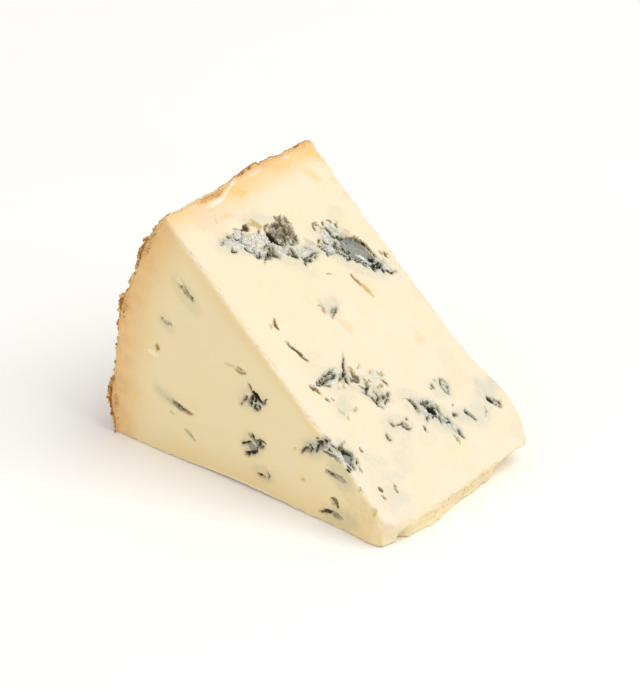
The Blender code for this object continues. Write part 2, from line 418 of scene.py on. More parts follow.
UPPER_VEINS = veins(
    Side.UPPER,
    # The cluster nearest the rind: white mould at its near end, a taupe mass at its far end.
    (Growth.HALO, 0.55, (4, (13, 11), (18, 18), (20, 27), (26, 34)), (3, (11, 22), (14, 29))),
    (Growth.HALO, 0.45, (4, (22, 40), (30, 44), (38, 52)), (3, (20.5, 49.5)), (2.5, (27, 37))),
    (Growth.BLOOM, 1, (4.4, (13.5, 13.5), (15.5, 17.5), (17, 22.5)), (4.6, (17, 18.5), (21.5, 20.5)),
     (4.2, (18.5, 24), (23, 24.5)), (2.6, (22.5, 27.5), (24.4, 29.6)), (3.6, (25, 31), (27.6, 34.6)),
     (3.2, (19.6, 27.4), (21.4, 30.2))),
    (Growth.HALO, 0.6, (5, (14, 10), (15, 15)), (6, (19, 22), (25, 29), (27, 37)), (5, (23, 41), (26, 47)),
     (5, (30, 41), (41, 51))),
    (Growth.BLOOM, 0.6, (2, (12.4, 10.6), (13, 12.6)), (1.6, (22.6, 35.4), (26.4, 36.6))),
    (Growth.FLUFF, 1, (2.6, (13, 17)), (3.4, (15.5, 18.5), (19.5, 19)), (3, (15, 14.5), (16, 17)),
     (4.2, (15.8, 22.5), (17.5, 21.5)), (1.6, (20.4, 20.3)), (1.4, (18.5, 23.8), (16.5, 24.6)),
     (2.4, (22.2, 27), (23.4, 26.2)), (2.6, (25.2, 31.5), (26.3, 33.2)), (1.6, (26.3, 34.6))),
    (Growth.FLUFF, 0.6, (2.4, (14.5, 11.5), (14.8, 14)), (1.2, (22, 25.5), (20.5, 25.4))),
    (Growth.DARK, 1,
     (0.9, (15.8, 25.8), (17.3, 25.7), (18.3, 25.5), (19.1, 26.4), (20.3, 27), (21.9, 27.3)),
     (1.7, (17.2, 25.9)), (2.1, (18.3, 26)), (1.6, (19.3, 26.5)), (1.1, (20.3, 26.9)),
     (0.8, (21.1, 21.9), (21.7, 21.1))),
    (Growth.DARK, 0.8, (0.2, (13.2, 18.3), (14.3, 17.2), (14, 15.5)),
     (0.2, (11.4, 17), (12.5, 15.9), (14, 15.3)), (0.7, (14.1, 15.7)), (0.45, (12, 13.6), (13.2, 14.2)),
     (0.6, (15.4, 12.8), (16.2, 11.8), (16.8, 13.5)), (0.3, (14.2, 16.3), (15.8, 17), (16.8, 18.2)),
     (0.4, (16.8, 17.9), (18.6, 18.5), (20.3, 17.9), (21.4, 18.4)),
     (0.35, (16.4, 15.8), (17.6, 16.6), (20.2, 17.4)), (0.5, (19.4, 20), (20.1, 19.1), (21.3, 18.6)),
     (0.25, (22.4, 19.6), (23, 18.4)), (0.5, (21.7, 20.8), (22.4, 19.4)),
     (0.35, (18.6, 23.6), (19.2, 22.2), (20, 21)), (0.4, (15.3, 22.3), (15.8, 21.3)),
     (0.4, (14.4, 24), (15.4, 23)), (0.6, (22.2, 22.8), (23.4, 24)), (0.5, (19.6, 23.6), (21, 22.8)),
     (0.7, (23, 29.3), (24.2, 29.1), (25, 28.4), (26, 29.4)), (0.5, (24.2, 28.2), (23.7, 27)),
     (0.5, (26.5, 30.8), (27.6, 31.2), (28.5, 30.4), (29.1, 30.1)), (0.9, (28.4, 32.4)), (0.7, (27.6, 33.4)),
     (0.45, (27, 31.5), (27.2, 33), (27.2, 34.8), (27.6, 36.5)), (0.4, (28, 35), (28.6, 34.3))),
    (Growth.DARK, 0.5, (0.4, (13.2, 11.6), (13.4, 10.3)), (0.3, (24.4, 33.4), (25, 34.4), (26.4, 35.3)),
     (0.5, (20.2, 29.4), (20.8, 28), (22, 27.5)), (0.5, (17.4, 29), (18.3, 27.6), (19.5, 27)),
     (0.5, (18.5, 30), (20.5, 29.5), (22, 30), (22.6, 31)), (0.4, (15.5, 28.6), (15.8, 30.4)),
     (0.4, (21.5, 32), (22.5, 30.8)), (0.5, (20.5, 33.8), (21.3, 33)),
     (0.5, (20, 24.4), (21.6, 23.4), (23, 23.2)), (0.4, (20.4, 22.8), (21.8, 22.4), (22.6, 21.4))),
    (Growth.GREY, 0.9, (2.6, (19.8, 23.4), (22.6, 23)), (2, (21.4, 21.8), (22.4, 20.4)),
     (1.6, (20.4, 24), (22, 22)), (1.6, (19.6, 18.4), (20.8, 19)), (1.2, (16.5, 16.6), (19, 17.4)),
     (1.6, (27.4, 31.4), (28.4, 32.6)), (1.6, (23.6, 28.6), (25.6, 28.8))),
    (Growth.TAUPE, 0.9, (2.2, (16.2, 27), (21, 27.4))),
    (Growth.TAUPE, 1, (4, (17, 28.6), (20.5, 28.4)), (1.6, (16, 31.5), (18.4, 32), (20.4, 31.6)),
     (2, (15.6, 27.4), (16, 31)), (1.6, (16.4, 30.1), (20.4, 30.2)), (1.8, (14.3, 30.8), (15.2, 32.8)),
     (1.7, (16.8, 32.6), (20.6, 32.5), (22.6, 32))),
    (Growth.TAUPE, 0.55, (2, (15, 33.5), (18, 33.6)), (1.4, (20.8, 32.8), (22.2, 31.4))),
    (Growth.DARK, 0.55, (0.22, (15, 31.6), (18.4, 32.7)), (0.22, (16, 33.2), (19.8, 33.4)),
     (0.22, (17.4, 31), (21.4, 31.6)), (0.3, (20.2, 32.9), (22, 32.6))),
    (Growth.DARK, 0.6, (1, (12.1, 20.2), (13.2, 20.9))),
    (Growth.BROWN, 1, (1.5, (12.4, 20.6)), (1, (11.8, 21.2), (13.6, 20.4)), (0.8, (12.2, 20), (13.6, 19.8)),
     (0.7, (12.6, 19.8), (12.8, 18.8)), (0.2, (12.8, 18.9), (11.6, 17.8), (11.2, 16.6)),
     (0.8, (15.2, 31.4), (16.8, 31.6)), (0.9, (16.8, 31), (18.6, 31.6)), (0.8, (18.4, 31.1), (20.2, 31.7)),
     (0.6, (20.1, 31.4), (20.5, 30.4)), (1, (15.8, 30.6), (16.4, 29.4))),
    (Growth.DARK, 0.45, (0.35, (15.8, 32.1), (17.4, 32.4)), (0.4, (17.6, 30.8), (19.4, 30.6)),
     (0.35, (18.6, 32.4), (20, 32.2)), (0.3, (16.2, 29.6), (16.8, 28.6))),
    (Growth.BROWN, 0.55, (1, (15.4, 30.2), (15.6, 28.6)), (0.9, (18.6, 30), (21, 29.8))),
    (Growth.BROWN, 0.7, (0.6, (14.5, 27.8), (14.9, 26.2), (15.5, 25.4)), (0.5, (13.3, 31), (14.6, 30.8)),
     (0.5, (13.8, 33.4), (14.5, 32.4), (15.3, 31.4)), (0.7, (15, 34), (16.6, 34)),
     (0.5, (20.8, 33.6), (21.2, 32.6)), (0.4, (18.4, 28.8), (19, 30.4)), (0.4, (16.6, 26.4), (17.4, 27.6))),
    (Growth.OCHRE, 0.9, (1.5, (11.3, 23.6), (12.4, 23.4), (14.3, 25.4)), (1.2, (12, 22.3))),
    # The second cluster: a smooth blue-grey lens with a dark fringe of painted shade along one side, white
    # mould at its near end.
    (Growth.BLOOM, 1, (3.2, (23.4, 41.8), (27.4, 42.4)), (4.4, (27.6, 41.6), (33.6, 45.6)),
     (3.6, (26.6, 39), (29.4, 40.4)), (4.4, (34.4, 47.6), (39.6, 51)), (2, (23, 45.6), (26.4, 46.4)),
     (2.4, (37.4, 52.6), (41, 53.6))),
    (Growth.BLOOM, 0.5, (1.6, (25.6, 47.4), (27.2, 49))),
    (Growth.LENS, 1, (5, (28.8, 46.8), (33.8, 49.5)), (3.6, (27.8, 45.8), (35.6, 50.4))),
    (Growth.DARK, 0.3, (1.6, (28.2, 47), (29.6, 49.4), (32.4, 50.6)), (1.4, (35, 50.8), (36.6, 50.4))),
    (Growth.FLUFF, 1, (2.8, (23.6, 41.9), (26.8, 42.4)), (1.6, (28.3, 40.6)), (1.3, (28, 38.8)),
     (1.3, (34.3, 48.2), (36.8, 48.7)), (0.7, (33, 47.2), (34.6, 48.4), (37, 49.2))),
    (Growth.FLUFF, 0.55, (2.2, (22.6, 45.8), (25.4, 46.2)), (2, (39.8, 53.2), (41, 54)), (1.6, (26.2, 39.4))),
    (Growth.GREY, 0.9, (2.4, (28, 42.8), (30, 43.6)), (1.8, (26.4, 38.6), (29.2, 39.8)),
     (2.6, (35.4, 50.6), (37.2, 50.2)), (1.6, (33, 44.6), (35, 46.6)), (1.2, (23, 43.8), (26, 44.2))),
    (Growth.DARK, 1, (0.9, (39.6, 51.3), (40.3, 51.6), (41, 51.3)),
     (0.9, (38.1, 52), (38.2, 50.4), (38, 48.9)), (0.8, (39, 52.5), (39.2, 51), (38.8, 49.5)),
     (0.7, (26.3, 45), (27, 45.8), (27.6, 46.9)), (1, (26.7, 45.2)),
     (0.45, (28.2, 44.6), (30.5, 44.3), (32.4, 45.4)),
     (0.5, (32.6, 45.4), (34.2, 46.9), (36.4, 48.2), (38.4, 48.9)),
     (0.3, (27.6, 47.8), (28.8, 50), (31, 51.4), (34.6, 51.8)), (1.4, (35.7, 50.6), (36.9, 50.6)),
     (0.6, (41, 52.4), (41.9, 53.4), (42.2, 54.9))),
    (Growth.DARK, 0.8, (0.7, (31.4, 43), (32.1, 43.6), (33.2, 43.2)),
     (0.6, (32.3, 44.8), (33.5, 44), (33.3, 43.3)),
     (0.6, (33.5, 45.3), (34.5, 45.8), (35.2, 46.6), (34.4, 47.2)),
     (0.4, (35.3, 46.6), (36.2, 47), (37.3, 47.3)),
     (0.5, (22.4, 43.5), (24.3, 44), (25.5, 43.8), (26.3, 44.5)), (0.4, (25, 40), (26.4, 40.3), (27, 41.5)),
     (0.5, (29.8, 41.4), (30.3, 42.2), (31.2, 42.9)), (0.4, (24.8, 39.2), (25.5, 38.2)),
     (0.4, (26, 37.6), (26.8, 38.6), (28.5, 39), (29.7, 38.2)),
     (0.6, (26.9, 43.7), (28.2, 42.3), (29.6, 43.4)), (0.5, (30.2, 45.4), (31.7, 45.9), (31.8, 44.6)),
     (0.6, (35, 52), (36.3, 52.4)), (0.8, (38.2, 48.8), (39.4, 49.2)),
     (0.6, (37.1, 56.4), (36.8, 55.8), (37.4, 55.3), (37.9, 55.6))),
    (Growth.BROWN, 0.8, (0.6, (20.1, 42.2), (20, 41), (20.8, 40.4), (21.9, 40.3)),
     (0.6, (20.7, 41.9), (20.8, 41.2)), (0.9, (21.2, 43.8)), (0.9, (22.8, 47.4), (23.8, 47.3)),
     (0.5, (21, 45.8), (21.5, 46.4), (22.5, 46.5)), (0.5, (30, 51.3), (34.4, 52))),
    (Growth.OLIVE, 0.7, (0.7, (28.2, 50), (30.5, 51.3), (34.5, 52)),
     (0.6, (35.2, 54.5), (36.4, 54.6), (36.2, 55.4)), (0.7, (23, 43.8), (25.8, 44)),
     (0.5, (22, 42), (22.2, 43)), (0.6, (33.4, 34.4), (34, 35.3))),
    (Growth.OCHRE, 0.5, (1.5, (26.2, 47), (26.6, 49.6)), (0.8, (23, 48.3)), (0.9, (21.2, 41.9))),
    # Gold and orange patches beside the rind.
    (Growth.BLUSH, 0.45, (7, (3, 10), (8, 13))),
    (Growth.BLUSH, 0.3, (4, (8, 21), (8.4, 27))),
    (Growth.PEACH, 1, (2.4, (2.4, 23.6), (2.8, 27)), (2, (3.6, 24.6), (3.8, 28.4))),
    (Growth.PEACH, 0.7, (1.4, (2.4, 41), (2.2, 47)), (2.2, (1.6, 52), (3, 56.8), (6, 57.6)),
     (1.2, (6.5, 50), (10, 51.5))),
    (Growth.GOLD, 0.16, (0.5, (2.4, 24.2), (3.1, 26)), (0.35, (3.9, 25.2), (4.3, 28.6))),
    (Growth.PEACH, 0.5, (0.6, (7.3, 16), (7.6, 18.8))),
    (Growth.GOLD, 0.2, (0.7, (7.4, 16.2), (7.7, 18.4))),
    (Growth.BROWN, 0.2, (0.2, (5.6, 14.4), (6.6, 13.8), (7.8, 13.5))),
    # Streaks and faint marks between the clusters.
    (Growth.OCHRE, 0.9, (1.3, (37, 40.7), (39, 41.2), (41, 42), (43, 42.4), (45, 42.9)),
     (1.2, (37.2, 9.9), (38.2, 9.1), (39.9, 8.8)), (0.8, (37.8, 7.9), (38.8, 7.3)),
     (0.9, (43.8, 8.6), (46, 9.1), (48.5, 9.8), (51, 11))),
    (Growth.BROWN, 0.45, (0.6, (36.9, 40.6), (38.6, 41.1), (40.6, 41.8))),
    (Growth.HALO, 0.6, (3.6, (40, 26.5), (42.6, 29.4)), (2, (41, 30.5))),
    (Growth.DARK, 0.4, (0.6, (42.5, 29.8), (43.6, 28.4), (44.4, 26.8)), (0.5, (42, 28.8), (43.3, 27.4)),
     (0.4, (40.6, 26), (42, 25.6))),
    (Growth.OLIVE, 0.8, (0.6, (43.2, 29), (43.8, 27.8)), (0.6, (40.8, 26), (41.8, 25.8)),
     (0.4, (42.4, 30), (43.4, 29.2)), (0.5, (39.8, 25.2))),
    (Growth.PEACH, 0.4, (1.6, (46, 28.4), (49.5, 29.4)), (1.6, (60, 47.4), (62.4, 46.9)), (0.9, (12.7, 56.3)),
     (0.8, (17.2, 56.8))),
    (Growth.BROWN, 0.85, (0.75, (37.3, 9.8), (38.3, 9.1), (39.8, 8.9)),
     (0.8, (44.2, 8.8), (46, 9.2), (48.5, 9.9), (50.8, 10.9))),
    (Growth.HALO, 0.5, (4, (58, 11), (61, 19)), (3.5, (66, 21), (70, 26)), (3.5, (75, 20), (79, 26)),
     (6, (72, 31), (79, 34), (85, 37)), (4, (74, 41), (77, 44)), (4.5, (84, 42), (87, 48), (83, 55)),
     (3, (90, 7), (94, 10))),
    (Growth.HALO, 0.35, (3, (50, 57.5)), (3, (42, 55)), (3.5, (51.5, 12)), (4, (86, 17)), (2.5, (69, 51)),
     (2, (96, 56))),
    (Growth.HALO, 0.3, (6, (81, 9), (97, 6)), (4, (81, 21), (87, 17)), (3.5, (83.5, 29)), (3, (74.5, 50.5))),
    (Growth.HALO, 0.42, (1.6, (80, 8), (83.6, 11.4)), (1.4, (84, 17.6), (86.4, 15.8)),
     (1.8, (91.6, 7), (95, 5)), (1, (86.4, 9), (88.6, 13)), (1.4, (81.6, 23.4), (82.6, 20.6)),
     (1.8, (29.6, 29.6), (31.4, 30.6))),
    # The cluster on the middle of the cut, with a thin dark stem and a fan below it.
    (Growth.HALO, 0.6, (4, (57, 10), (57.5, 15), (60, 19), (68, 22)), (2.4, (63.4, 26.2)),
     (3, (64, 13), (67, 10))),
    (Growth.BLOOM, 0.85, (2.8, (57.2, 9.6), (57.4, 15.4)), (1.8, (58, 16.6), (60.4, 18.4)),
     (2.4, (66.8, 23), (69.8, 22.4)), (1.8, (69, 24.6), (70.6, 25.4)), (1.6, (64.4, 20.6), (66.2, 20.4))),
    (Growth.GREY, 0.6, (2, (57.2, 10), (57.2, 14.6)), (1.2, (58.4, 16.8), (59.4, 18.2)),
     (1.3, (68.6, 24.4), (69.6, 22.6))),
    (Growth.OCHRE, 0.6, (0.4, (53.8, 22.4), (55.2, 21)), (0.6, (58.4, 25), (59.4, 23.6)),
     (1.3, (57.8, 21), (60.6, 20.6)), (1, (56.6, 6.8), (60, 7.6)), (0.8, (59.6, 16.2), (61, 16.4))),
    (Growth.OCHRE, 0.35, (1.3, (61.8, 22.6), (65.4, 23)), (0.9, (66, 24.2), (68, 25.2))),
    (Growth.BROWN, 0.5, (0.3, (62.2, 22.5), (63.2, 23.1), (64.4, 22.3)),
     (0.3, (65.4, 23.8), (66.6, 23.1), (67.4, 24.2)), (0.25, (63.2, 24), (64.6, 24.5)),
     (0.3, (65.6, 24.8), (66.8, 25.2)), (0.3, (57.8, 21.4), (59.2, 21.8))),
    (Growth.DARK, 1, (0.45, (55, 21.2), (56.4, 20.1), (57.6, 19.4), (58.5, 18.5), (59.2, 17.2)),
     (0.9, (58.5, 18.6)), (0.6, (58, 19), (59, 17.8)), (0.5, (56.8, 9), (57.3, 8.8), (57.7, 9.6)),
     (0.5, (57.4, 9.8), (57.8, 11.4))),
    (Growth.DARK, 0.8, (0.3, (57.1, 9), (56.5, 12), (56.3, 14.4), (55.8, 16.4)),
     (0.3, (57.4, 10.5), (57.5, 13), (57.9, 14.8)), (0.4, (57.5, 9.4), (58.6, 10.6), (59.5, 12)),
     (0.4, (56, 16.2), (56.7, 14.6), (57.4, 15.5), (58.1, 14.2)),
     (0.5, (59, 17.6), (59.2, 16.4), (59.4, 15.6)), (0.4, (59.4, 17.8), (60.6, 17.4), (61.8, 17.6)),
     (0.4, (56.6, 12.6), (57.2, 13.8)),
     (0.45, (66.4, 20.9), (67.8, 21.2), (69, 21.5), (70.3, 21.6), (71.8, 22.1)),
     (0.8, (68.7, 25.3), (69.3, 24.5)), (0.8, (69.1, 26.7), (69.4, 26.2)),
     (0.45, (70.1, 25.8), (70.4, 24.5), (71.3, 23)), (0.45, (65.2, 27.8), (66.8, 28.4)),
     (0.35, (68.4, 23.4), (68.9, 21.9)), (0.5, (64.8, 22.4), (65, 21.4))),
    (Growth.BROWN, 0.85,
     (0.6, (58.8, 20.8), (60, 20.5), (61.2, 21.5), (62.2, 20.8), (62, 19.8), (61, 19.1), (60, 19.2)),
     (1.7, (61.6, 20.4)), (1.2, (61.3, 19.4)), (0.9, (60.4, 20.5)),
     (0.5, (63.4, 20.3), (64.2, 21), (65.5, 21.1), (66.3, 20.5), (65, 19.4)),
     (0.7, (64.6, 22.6), (65.2, 21.6)), (0.45, (67.2, 23.5), (68.6, 22.8), (69, 21.9)),
     (0.5, (56.6, 6.6), (58, 6.7), (58.3, 7.3), (59.5, 7.5)), (0.5, (61.5, 8.4), (63, 8.7)),
     (0.4, (62.7, 10.4))),
    (Growth.OLIVE, 0.7, (0.8, (63, 28.1), (64.2, 29)), (0.5, (63.2, 29.2), (64, 28.2)), (0.9, (60, 21.2)),
     (0.8, (62.1, 26.2)), (1.1, (66.3, 26.2)), (0.5, (59.1, 24.2), (59.3, 23.2)), (1, (60.3, 20)),
     (0.6, (63, 22.7), (64.2, 22.3)), (0.5, (67.3, 14.6), (68.3, 13.8), (67.6, 13.2)),
     (0.6, (66, 9.4), (67.4, 10.2)), (0.5, (60.4, 14), (61.2, 13.7)), (0.5, (61.2, 15.6), (62, 15.2)),
     (0.5, (68.4, 10.7), (69.4, 10.5)), (0.8, (57, 7.2), (59, 7.2)), (0.6, (62, 10), (63, 9.8))),
    (Growth.FLUFF, 0.9, (0.9, (64, 20.2), (65.5, 20.2)), (0.7, (57, 7), (57.8, 7.1)), (0.7, (65.4, 23))),
    (Growth.FLUFF, 0.5, (1.2, (63, 26.8), (64.2, 25.6)), (1.2, (58.6, 13), (59, 14.6)),
     (0.8, (57, 13.4), (57, 15))),
    (Growth.HALO, 0.4, (2.6, (62, 13), (64, 16))),
    # Strokes beside it, towards the tip.
    (Growth.DARK, 0.65, (0.5, (75.2, 21.2), (76.4, 21.6), (77.2, 22.4)),
     (0.3, (77.2, 22.4), (77.8, 24.4), (79, 25), (79.9, 26)), (0.5, (77.5, 24.7), (78.6, 24.1)),
     (0.35, (78, 18.2), (79, 17.7), (79.6, 18)), (0.3, (81.5, 30), (82.6, 30.1)), (0.5, (77.2, 26.8))),
    (Growth.BLOOM, 0.7, (1.6, (77.6, 25), (79.8, 25.6)), (1, (78.2, 18.1), (79.4, 18))),
    (Growth.HALO, 0.45, (2.4, (75.5, 21.5), (79, 25.5)), (2, (78.5, 18.5))),
    (Growth.GREY, 0.75, (1.6, (78, 25), (79.6, 25.6)), (0.8, (75.6, 21.4), (76.8, 21.8))),
    # The web round a hole, its black partly painted shade.
    (Growth.HALO, 0.7, (5, (74.5, 32.5), (80, 36), (87, 38.6)), (3, (75.5, 44.3)), (3, (84, 42), (86, 46))),
    (Growth.BLOOM, 0.9, (4, (76, 33), (82, 36.4)), (2.6, (82.5, 37.4), (88, 39)),
     (1.8, (73.4, 31.2), (75.4, 32.4)), (1.2, (83.3, 41.4)), (1.4, (74, 44.2), (77, 44.3)),
     (1.4, (84.4, 45.4), (87, 46.2))),
    (Growth.GREY, 0.8, (1.6, (76.4, 34.8), (78, 35.4)), (1, (74.4, 31.8), (77.4, 32)), (0.9, (80, 33.2)),
     (1, (81.6, 36.2))),
    (Growth.FLUFF, 0.8, (1.2, (77, 33), (79, 33.4)), (1, (79.6, 36.6), (80.6, 36.4)), (0.8, (83.2, 37.9)),
     (1.2, (75.6, 36.4), (77, 37.8)), (0.8, (81.4, 34.8))),
    (Growth.DARK, 1, (2.5, (78.6, 35.5)), (1.9, (79.4, 35.7)), (0.4, (75.5, 35.2), (77, 35), (78, 35.2)),
     (0.6, (87.3, 39.2), (88, 38.8), (89.7, 39.2))),
    (Growth.DARK, 0.85, (0.5, (78.6, 37.8), (80, 37.6), (81, 37.4), (82.3, 37.8)),
     (0.5, (80.2, 35.5), (80.9, 34.1)), (0.5, (81.3, 36.7), (82.3, 36), (83.2, 35.6)),
     (0.45, (77.1, 37), (78, 36.6), (78.8, 37.2)),
     (0.45, (82.6, 38), (83.2, 38.6), (83.9, 38.2), (83.7, 37.4), (83, 37), (82.6, 37.6)),
     (0.5, (76, 35.6), (77, 36.2)), (0.5, (75.6, 34.3), (76.4, 34.4)), (0.6, (73.2, 31.3), (74, 31.9)),
     (0.3, (74, 32), (74.8, 31.6), (76, 32), (76.6, 31.4)), (0.3, (76.7, 31.3), (77.7, 31.3)),
     (0.4, (79.9, 33), (80.5, 32.3)), (0.7, (83.1, 40.9), (83.5, 41.9)), (0.5, (80.4, 36.2), (81.4, 35.6)),
     (0.7, (84, 45.2), (85.3, 45.3)), (0.3, (85.3, 45.3), (87.4, 46.4)), (0.5, (73.4, 44.6), (73.5, 43.9)),
     (0.4, (73.5, 41.5), (73.4, 40.8), (74.2, 41))),
    (Growth.DARK, 0.5, (0.18, (73.5, 43.8), (75, 43.5), (77, 43.6)),
     (0.15, (73.4, 44.9), (75, 45.4), (76.6, 45.1)), (0.2, (77, 43.6), (77.7, 44.3), (76.9, 44.9), (75, 45))),
    (Growth.OLIVE, 0.75, (0.7, (88, 37), (90.5, 36.9)), (0.5, (72.3, 29.9), (73.1, 31.1)),
     (0.7, (73.5, 31.7)), (0.6, (80.9, 42.8)), (0.6, (72.7, 42.5)), (0.6, (73.9, 39.7)),
     (0.4, (85.8, 51.8), (87.3, 51.2), (88.1, 49.8)), (0.5, (78, 37.8), (79, 38.2)),
     (0.6, (81.6, 35.4), (82.8, 36.4))),
    # The lens by the far edge.
    (Growth.HALO, 0.65, (5, (80, 55), (85, 55)), (2.5, (81.5, 58.6)), (2, (88, 47.6))),
    (Growth.DARK, 1, (1.3, (84.1, 54.4), (85.3, 54.4)), (0.9, (85.2, 54.6), (86.2, 55.1))),
    (Growth.BLOOM, 0.9, (1.5, (85.6, 55.6), (88, 56.1))),
    (Growth.DARK, 0.6, (0.3, (85.4, 55.7), (87, 56.8), (88.4, 56.5)), (0.3, (86.4, 55.2), (88.2, 55.8)),
     (0.5, (80.6, 59), (82, 59))),
    (Growth.OLIVE, 0.6, (0.6, (86.6, 56.6), (88.2, 56.7))),
    # The cluster that crosses the near edge.
    (Growth.HALO, 0.6, (4, (73, 3), (80, 3))),
    (Growth.BLOOM, 1, (3, (74.6, 2), (80, 2.2)), (1.8, (76.4, 4), (78.8, 4)),
     (1.6, (69.4, 0.4), (76, 0.7))),
    (Growth.DARK, 0.7, (0.4, (71.6, 0.3), (73, 1.2), (74.4, 1.4)), (0.35, (70, 0.9), (71.4, 1.2))),
    (Growth.LENS, 1, (2, (76.4, 2.6), (77.8, 3)), (1.4, (77, 3.8))),
    (Growth.FLUFF, 1, (1.1, (75.4, 1), (79.4, 1.3)), (0.9, (78.8, 2.2), (79.8, 1.8))),
    (Growth.DARK, 1, (1, (74, 1.9), (75.3, 2.7), (76.7, 4.4)), (0.8, (75, 2), (76, 3.4)),
     (0.9, (70.4, 0.1), (71.6, 0))),
    (Growth.DARK, 0.8, (0.5, (78, 2.6), (79.5, 2.4), (80.7, 2.4)), (0.6, (79.2, 4.8), (80, 4)),
     (0.8, (80.1, 0.6)), (0.5, (76, 0.2), (78.6, 0.3)), (0.5, (79, 1.2), (80.4, 1.4)),
     (0.4, (77.4, 4.4), (78.6, 3.4))),
    (Growth.BROWN, 0.8, (0.6, (73.3, 4), (74.2, 3.3), (75, 3.4)), (0.6, (76.8, 8.3), (77.3, 8), (78.1, 8.1)),
     (0.5, (89.3, 9.9), (90.3, 9.6), (91.6, 9.5)), (0.9, (88.2, 5.1), (89.3, 5.5)),
     (0.45, (89.8, 4.4), (91.4, 4.9)), (0.5, (73.8, 2.4), (74.4, 3.2))),
    (Growth.OLIVE, 0.7, (0.6, (73.5, 5.4), (73.8, 4.4)), (0.6, (86.6, 0.4), (87, 0)),
     (0.5, (81, 3.6), (82.4, 4))),
    (Growth.GREY, 0.7, (1.4, (78, 2), (80.2, 2.8)), (1.4, (73.8, 2.8), (75, 2.6))),
    (Growth.OCHRE, 1, (1, (89.2, 9.9), (91.8, 9.5))),
)

